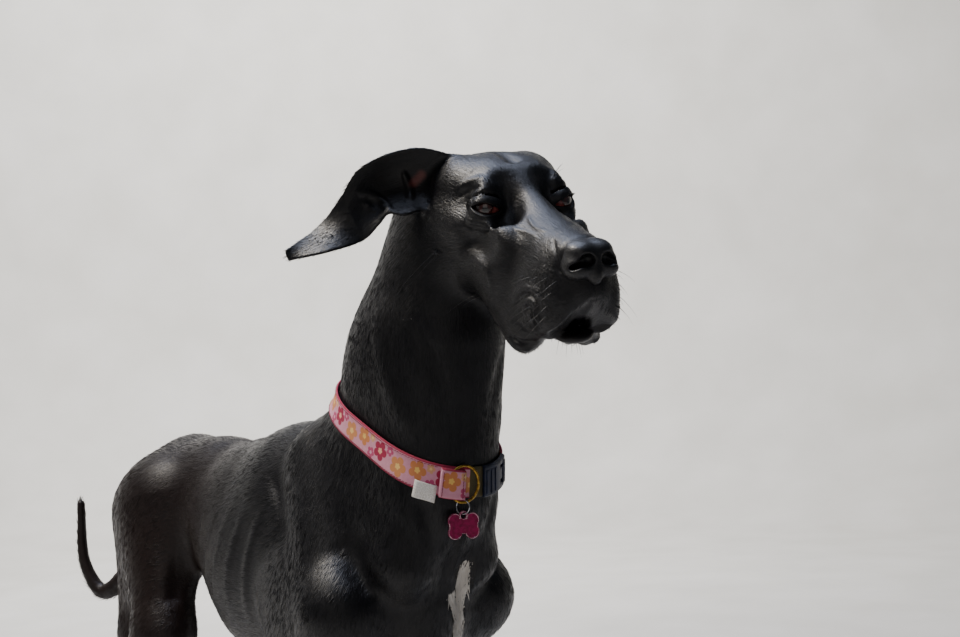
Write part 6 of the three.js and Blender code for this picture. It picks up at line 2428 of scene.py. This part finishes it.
@dataclass(frozen=True)
class Metal:
    """Worn metal: fine scratches in its shine, and dull spots where it has been handled."""

    name: str
    colour: str
    dull: str
    roughness: float
    metallic: float = 1.0

    def make(self) -> Material:
        """The material."""
        material, tree, shader = blank_material(self.name)
        wear = speckle(tree, 260.0, 5.0)
        tone = add_node(tree, "ShaderNodeValToRGB", {"Fac": wear})
        ramp_of(tone, [(0.35, srgb(self.dull)), (0.6, srgb(self.colour))])
        tree.links.new(tone.outputs["Color"], shader.inputs["Base Color"])
        links = {"Value": wear, 3: self.roughness + 0.14, 4: self.roughness - 0.06}
        gloss = add_node(tree, "ShaderNodeMapRange", links)
        tree.links.new(gloss.outputs[0], shader.inputs["Roughness"])
        links = {"Height": speckle(tree, 1500.0), "Strength": 0.2, "Distance": 0.0002}
        scratches = add_node(tree, "ShaderNodeBump", links)
        tree.links.new(scratches.outputs["Normal"], shader.inputs["Normal"])
        shader.inputs["Metallic"].default_value = self.metallic
        return material


@dataclass(frozen=True)
class Plastic:
    """Moulded buckle plastic: dark navy with a fine grain, rubbed lighter in places."""

    colour: str = "141a2e"
    rubbed: str = "252d45"

    def make(self) -> Material:
        """The material."""
        material, tree, shader = blank_material("buckle_plastic")
        wear = speckle(tree, 90.0, 4.0)
        tone = add_node(tree, "ShaderNodeValToRGB", {"Fac": wear})
        ramp_of(tone, [(0.4, srgb(self.colour)), (0.75, srgb(self.rubbed))])
        tree.links.new(tone.outputs["Color"], shader.inputs["Base Color"])
        gloss = add_node(tree, "ShaderNodeMapRange", {"Value": wear, 3: 0.3, 4: 0.5})
        tree.links.new(gloss.outputs[0], shader.inputs["Roughness"])
        links = {"Height": speckle(tree, 2200.0), "Strength": 0.35, "Distance": 0.00025}
        grain = add_node(tree, "ShaderNodeBump", links)
        tree.links.new(grain.outputs["Normal"], shader.inputs["Normal"])
        return material


@dataclass(frozen=True)
class Bloom:
    """One printed motif: its place in the repeat, radius, colours, and how deep its petals are cut."""

    along: float
    across: float
    radius: float
    colour: str
    heart: str
    cut: float = 0.42


@dataclass(frozen=True)
class Webbing:
    """Printed webbing: pink with simple blooms, crimson bound edges, and a fine weave."""

    ground: str = "c47d92"
    pale: str = "d79fae"
    edge: str = "98183c"
    plain_shaded_strap: str = "4a4224"
    repeat: float = 92.0
    rib: float = 1.3
    blooms: tuple[Bloom, ...] = (
        Bloom(46, 2, 12.0, "9d0f3c", "e2a98c"),
        Bloom(30, -8, 7.0, "b4416a", "d39cab"),
        Bloom(12, 4, 11.5, "c67a45", "e4b860"),
        Bloom(78, -2, 12.0, "cb8551", "e8c070"),
        Bloom(62, 9, 6.0, "b4416a", "d39cab"),
        Bloom(28, 10, 5.5, "d09a72", "e6c58a"),
    )

    def share(self, tree: NodeTree, u: NodeSocket, v: NodeSocket, bloom: Bloom, size: float) -> NodeSocket:
        """Where one bloom lies, its edge waved into five petals."""
        x = add_node(tree, "ShaderNodeMath", {0: u, 1: bloom.along}, operation="SUBTRACT").outputs[0]
        y = add_node(tree, "ShaderNodeMath", {0: v, 1: bloom.across}, operation="SUBTRACT").outputs[0]
        flat = add_node(tree, "ShaderNodeCombineXYZ", {0: x, 1: y})
        away = add_node(tree, "ShaderNodeVectorMath", {0: flat.outputs[0]}, operation="LENGTH")
        angle = add_node(tree, "ShaderNodeMath", {0: y, 1: x}, operation="ARCTAN2")
        halves = add_node(tree, "ShaderNodeMath", {0: angle.outputs[0], 1: 2.5}, operation="MULTIPLY")
        wave = add_node(tree, "ShaderNodeMath", {0: halves.outputs[0]}, operation="COSINE")
        lobes = add_node(tree, "ShaderNodeMath", {0: wave.outputs[0]}, operation="ABSOLUTE")
        petals = add_node(tree, "ShaderNodeMath", {0: lobes.outputs[0], 1: 0.55}, operation="POWER")
        links = {0: petals.outputs[0], 1: bloom.cut * size, 2: (1 - bloom.cut) * size}
        reach = add_node(tree, "ShaderNodeMath", links, operation="MULTIPLY_ADD")
        links = {0: reach.outputs[0], 1: away.outputs["Value"]}
        gap = add_node(tree, "ShaderNodeMath", links, operation="SUBTRACT")
        return add_node(tree, "ShaderNodeMapRange", {"Value": gap.outputs[0], 1: -0.4, 2: 0.4}).outputs[0]

    def make(self, plain_shaded_from: float) -> Material:
        """The band's material; its strap's end, from that length on, is unprinted and painted olive-brown as
        shade.
        """
        material, tree, shader = blank_material("printed_webbing")
        u = add_node(tree, "ShaderNodeAttribute", attribute_name="strap_u").outputs["Fac"]
        v = add_node(tree, "ShaderNodeAttribute", attribute_name="strap_v").outputs["Fac"]
        turned = add_node(tree, "ShaderNodeMath", {0: u, 1: self.repeat, 2: 0.0}, operation="WRAP").outputs[0]
        thread = speckle(tree, 260.0, 4.0)
        links = {0: thread, 6: srgb(self.ground), 7: srgb(self.pale)}
        colour = add_node(tree, "ShaderNodeMix", links, data_type="RGBA").outputs[2]
        for bloom in self.blooms:
            for size, ink in ((bloom.radius, bloom.colour), (bloom.radius * 0.32, bloom.heart)):
                share = self.share(tree, turned, v, bloom, size)
                mix = add_node(tree, "ShaderNodeMix", {0: share, 6: colour, 7: srgb(ink)}, data_type="RGBA")
                colour = mix.outputs[2]
        high = add_node(tree, "ShaderNodeMath", {0: v}, operation="ABSOLUTE")
        bound = add_node(tree, "ShaderNodeMapRange", {"Value": high.outputs[0], 1: 14.6, 2: 15.2})
        links = {0: bound.outputs[0], 6: colour, 7: srgb(self.edge)}
        mix = add_node(tree, "ShaderNodeMix", links, data_type="RGBA")
        # Painted shade: the last stretch of strap by the buckle is olive-brown, the colour of the band where
        # it turns into shade.
        end = add_node(tree, "ShaderNodeMapRange", {"Value": u, 1: plain_shaded_from - 0.4, 2: plain_shaded_from + 0.4})
        links = {0: end.outputs[0], 6: mix.outputs[2], 7: srgb(self.plain_shaded_strap)}
        whole = add_node(tree, "ShaderNodeMix", links, data_type="RGBA")
        tree.links.new(whole.outputs[2], shader.inputs["Base Color"])
        tree.links.new(self.weave(tree, u, v), shader.inputs["Normal"])
        gloss = add_node(tree, "ShaderNodeMapRange", {"Value": thread, 3: 0.62, 4: 0.85})
        tree.links.new(gloss.outputs[0], shader.inputs["Roughness"])
        return material

    def weave(self, tree: NodeTree, u: NodeSocket, v: NodeSocket) -> NodeSocket:
        """Ribs of the weave, across and along the strap."""
        waves = []
        for way in (u, v):
            turn = add_node(tree, "ShaderNodeMath", {0: way, 1: 2 * math.pi / self.rib}, operation="MULTIPLY")
            waves.append(add_node(tree, "ShaderNodeMath", {0: turn.outputs[0]}, operation="SINE").outputs[0])
        height = add_node(tree, "ShaderNodeMath", {0: waves[0], 1: waves[1]}, operation="MULTIPLY")
        links = {"Height": height.outputs[0], "Strength": 0.5, "Distance": 0.0004}
        return add_node(tree, "ShaderNodeBump", links).outputs["Normal"]


@dataclass(frozen=True)
class Cloth:
    """Woven label or thread: soft, with the weave's small ribs."""

    name: str
    colour: str
    shade: str

    def make(self) -> Material:
        """The material."""
        material, tree, shader = blank_material(self.name)
        grain = speckle(tree, 900.0, 2.0)
        tone = add_node(tree, "ShaderNodeValToRGB", {"Fac": grain})
        ramp_of(tone, [(0.3, srgb(self.shade)), (0.6, srgb(self.colour))])
        tree.links.new(tone.outputs["Color"], shader.inputs["Base Color"])
        bump = add_node(tree, "ShaderNodeBump", {"Height": grain, "Strength": 0.5, "Distance": 0.0004})
        tree.links.new(bump.outputs["Normal"], shader.inputs["Normal"])
        shader.inputs["Roughness"].default_value = 0.85
        return material


def put(piece: Object, slot: str | None, *nodes: str) -> None:
    """Lets a piece ride with the root, and hides the imported parts that it stands for."""
    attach(piece, "root")
    if nodes:
        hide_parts(*nodes)
    LOG.info("%s: %d faces", piece.name, len(piece.data.polygons))


def main() -> None:
    """Builds the dog in order."""
    global ORIGIN
    logging.basicConfig(level=logging.INFO, format="%(message)s")
    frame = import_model()
    ORIGIN = Origin()
    Camera().build()
    Studio().build()
    skin = Skin()
    body, head = skin.build()
    of_head = ("head", "neck", "ear_right", "ear_left")
    of_body = ("foreleg", "thigh", "gaskin", "hindleg", "forepaw", "hindpaw", "tail_", "torso")
    put(body, "coat", *(node for node in frame["nodes"] if node.startswith(of_body)))
    put(head, "coat", *of_head)
    for piece, s, node in zip(Eyes().build(), SIDES, ("eye_right", "eye_left")):
        piece.data.materials.append(EyeFinish().make(s))
        put(piece, "eyes", node)
    for piece in Lids(skin).build():
        piece.data.materials.append(body.data.materials[0])
        put(piece, "coat")
    for piece in Tufts(skin).build():
        put(piece, "coat")
    bristle = Horn("bristle", "0b0a0a", "2a2624", 0.35).make()
    for piece in Bristles(skin).build():
        piece.data.materials.append(bristle)
        put(piece, None)
    nose = Nose().build()
    nose.data.materials.append(Leather().make())
    put(nose, "nose", "nose")
    horn = Horn("claw_horn", "0f0d0c", "2c2723", 0.35).make()
    for piece in Claws().build():
        _, end, side = piece.name.split("_")
        piece.data.materials.append(horn)
        put(piece, "claws", *(f"{end}claw_{side}_{i}" for i in (1, 2, 3, 4)))
    dress_collar(Collar(skin.shape))


def dress_collar(collar: Collar) -> None:
    """Gives the collar's pieces their finishes, and hides the parts that they stand for."""
    pieces = collar.build()
    run = np.empty(len(pieces["webbing_band"].data.vertices), np.float32)
    pieces["webbing_band"].data.attributes["strap_u"].data.foreach_get("value", run)
    # The band's last STRAP_END mm by the buckle are unprinted and painted olive-brown as shade.
    printed = Webbing().make(float(run.max()) - STRAP_END)
    enamel = Metal("tag_enamel", "a31a55", "7d1542", 0.34, 0.55).make()
    rim = Metal("tag_rim", "e3c3cd", "a8305e", 0.22).make()
    dressed = {
        "webbing_band": ("collar_webbing", "collar_band", [printed]),
        "webbing_keeper": ("collar_webbing", "collar_keeper", [printed]),
        "buckle_body": ("buckle_plastic", "collar_buckle", [Plastic().make()]),
        "sewn_label": ("label_fabric", "collar_label", [Cloth("label_weave", "e6e3dd", "bdb8b0").make()]),
        "brass_ring": ("ring_brass", "collar_ring", [Metal("ring_brass", "b8923f", "6d5426", 0.26).make()]),
        "split_ring": ("ring_steel", "tag_ring", [Metal("ring_steel", "c9c9cd", "7f8084", 0.18).make()]),
        "bone_tag": ("tag_metal", "tag", [enamel, rim]),
    }
    for name, (slot, node, materials) in dressed.items():
        for material in materials:
            pieces[name].data.materials.append(material)
        put(pieces[name], slot, node)
    put(collar.stitches(Cloth("thread", "8c1d3c", "5e1028").make()), None)


if __name__ == "__main__":
    main()
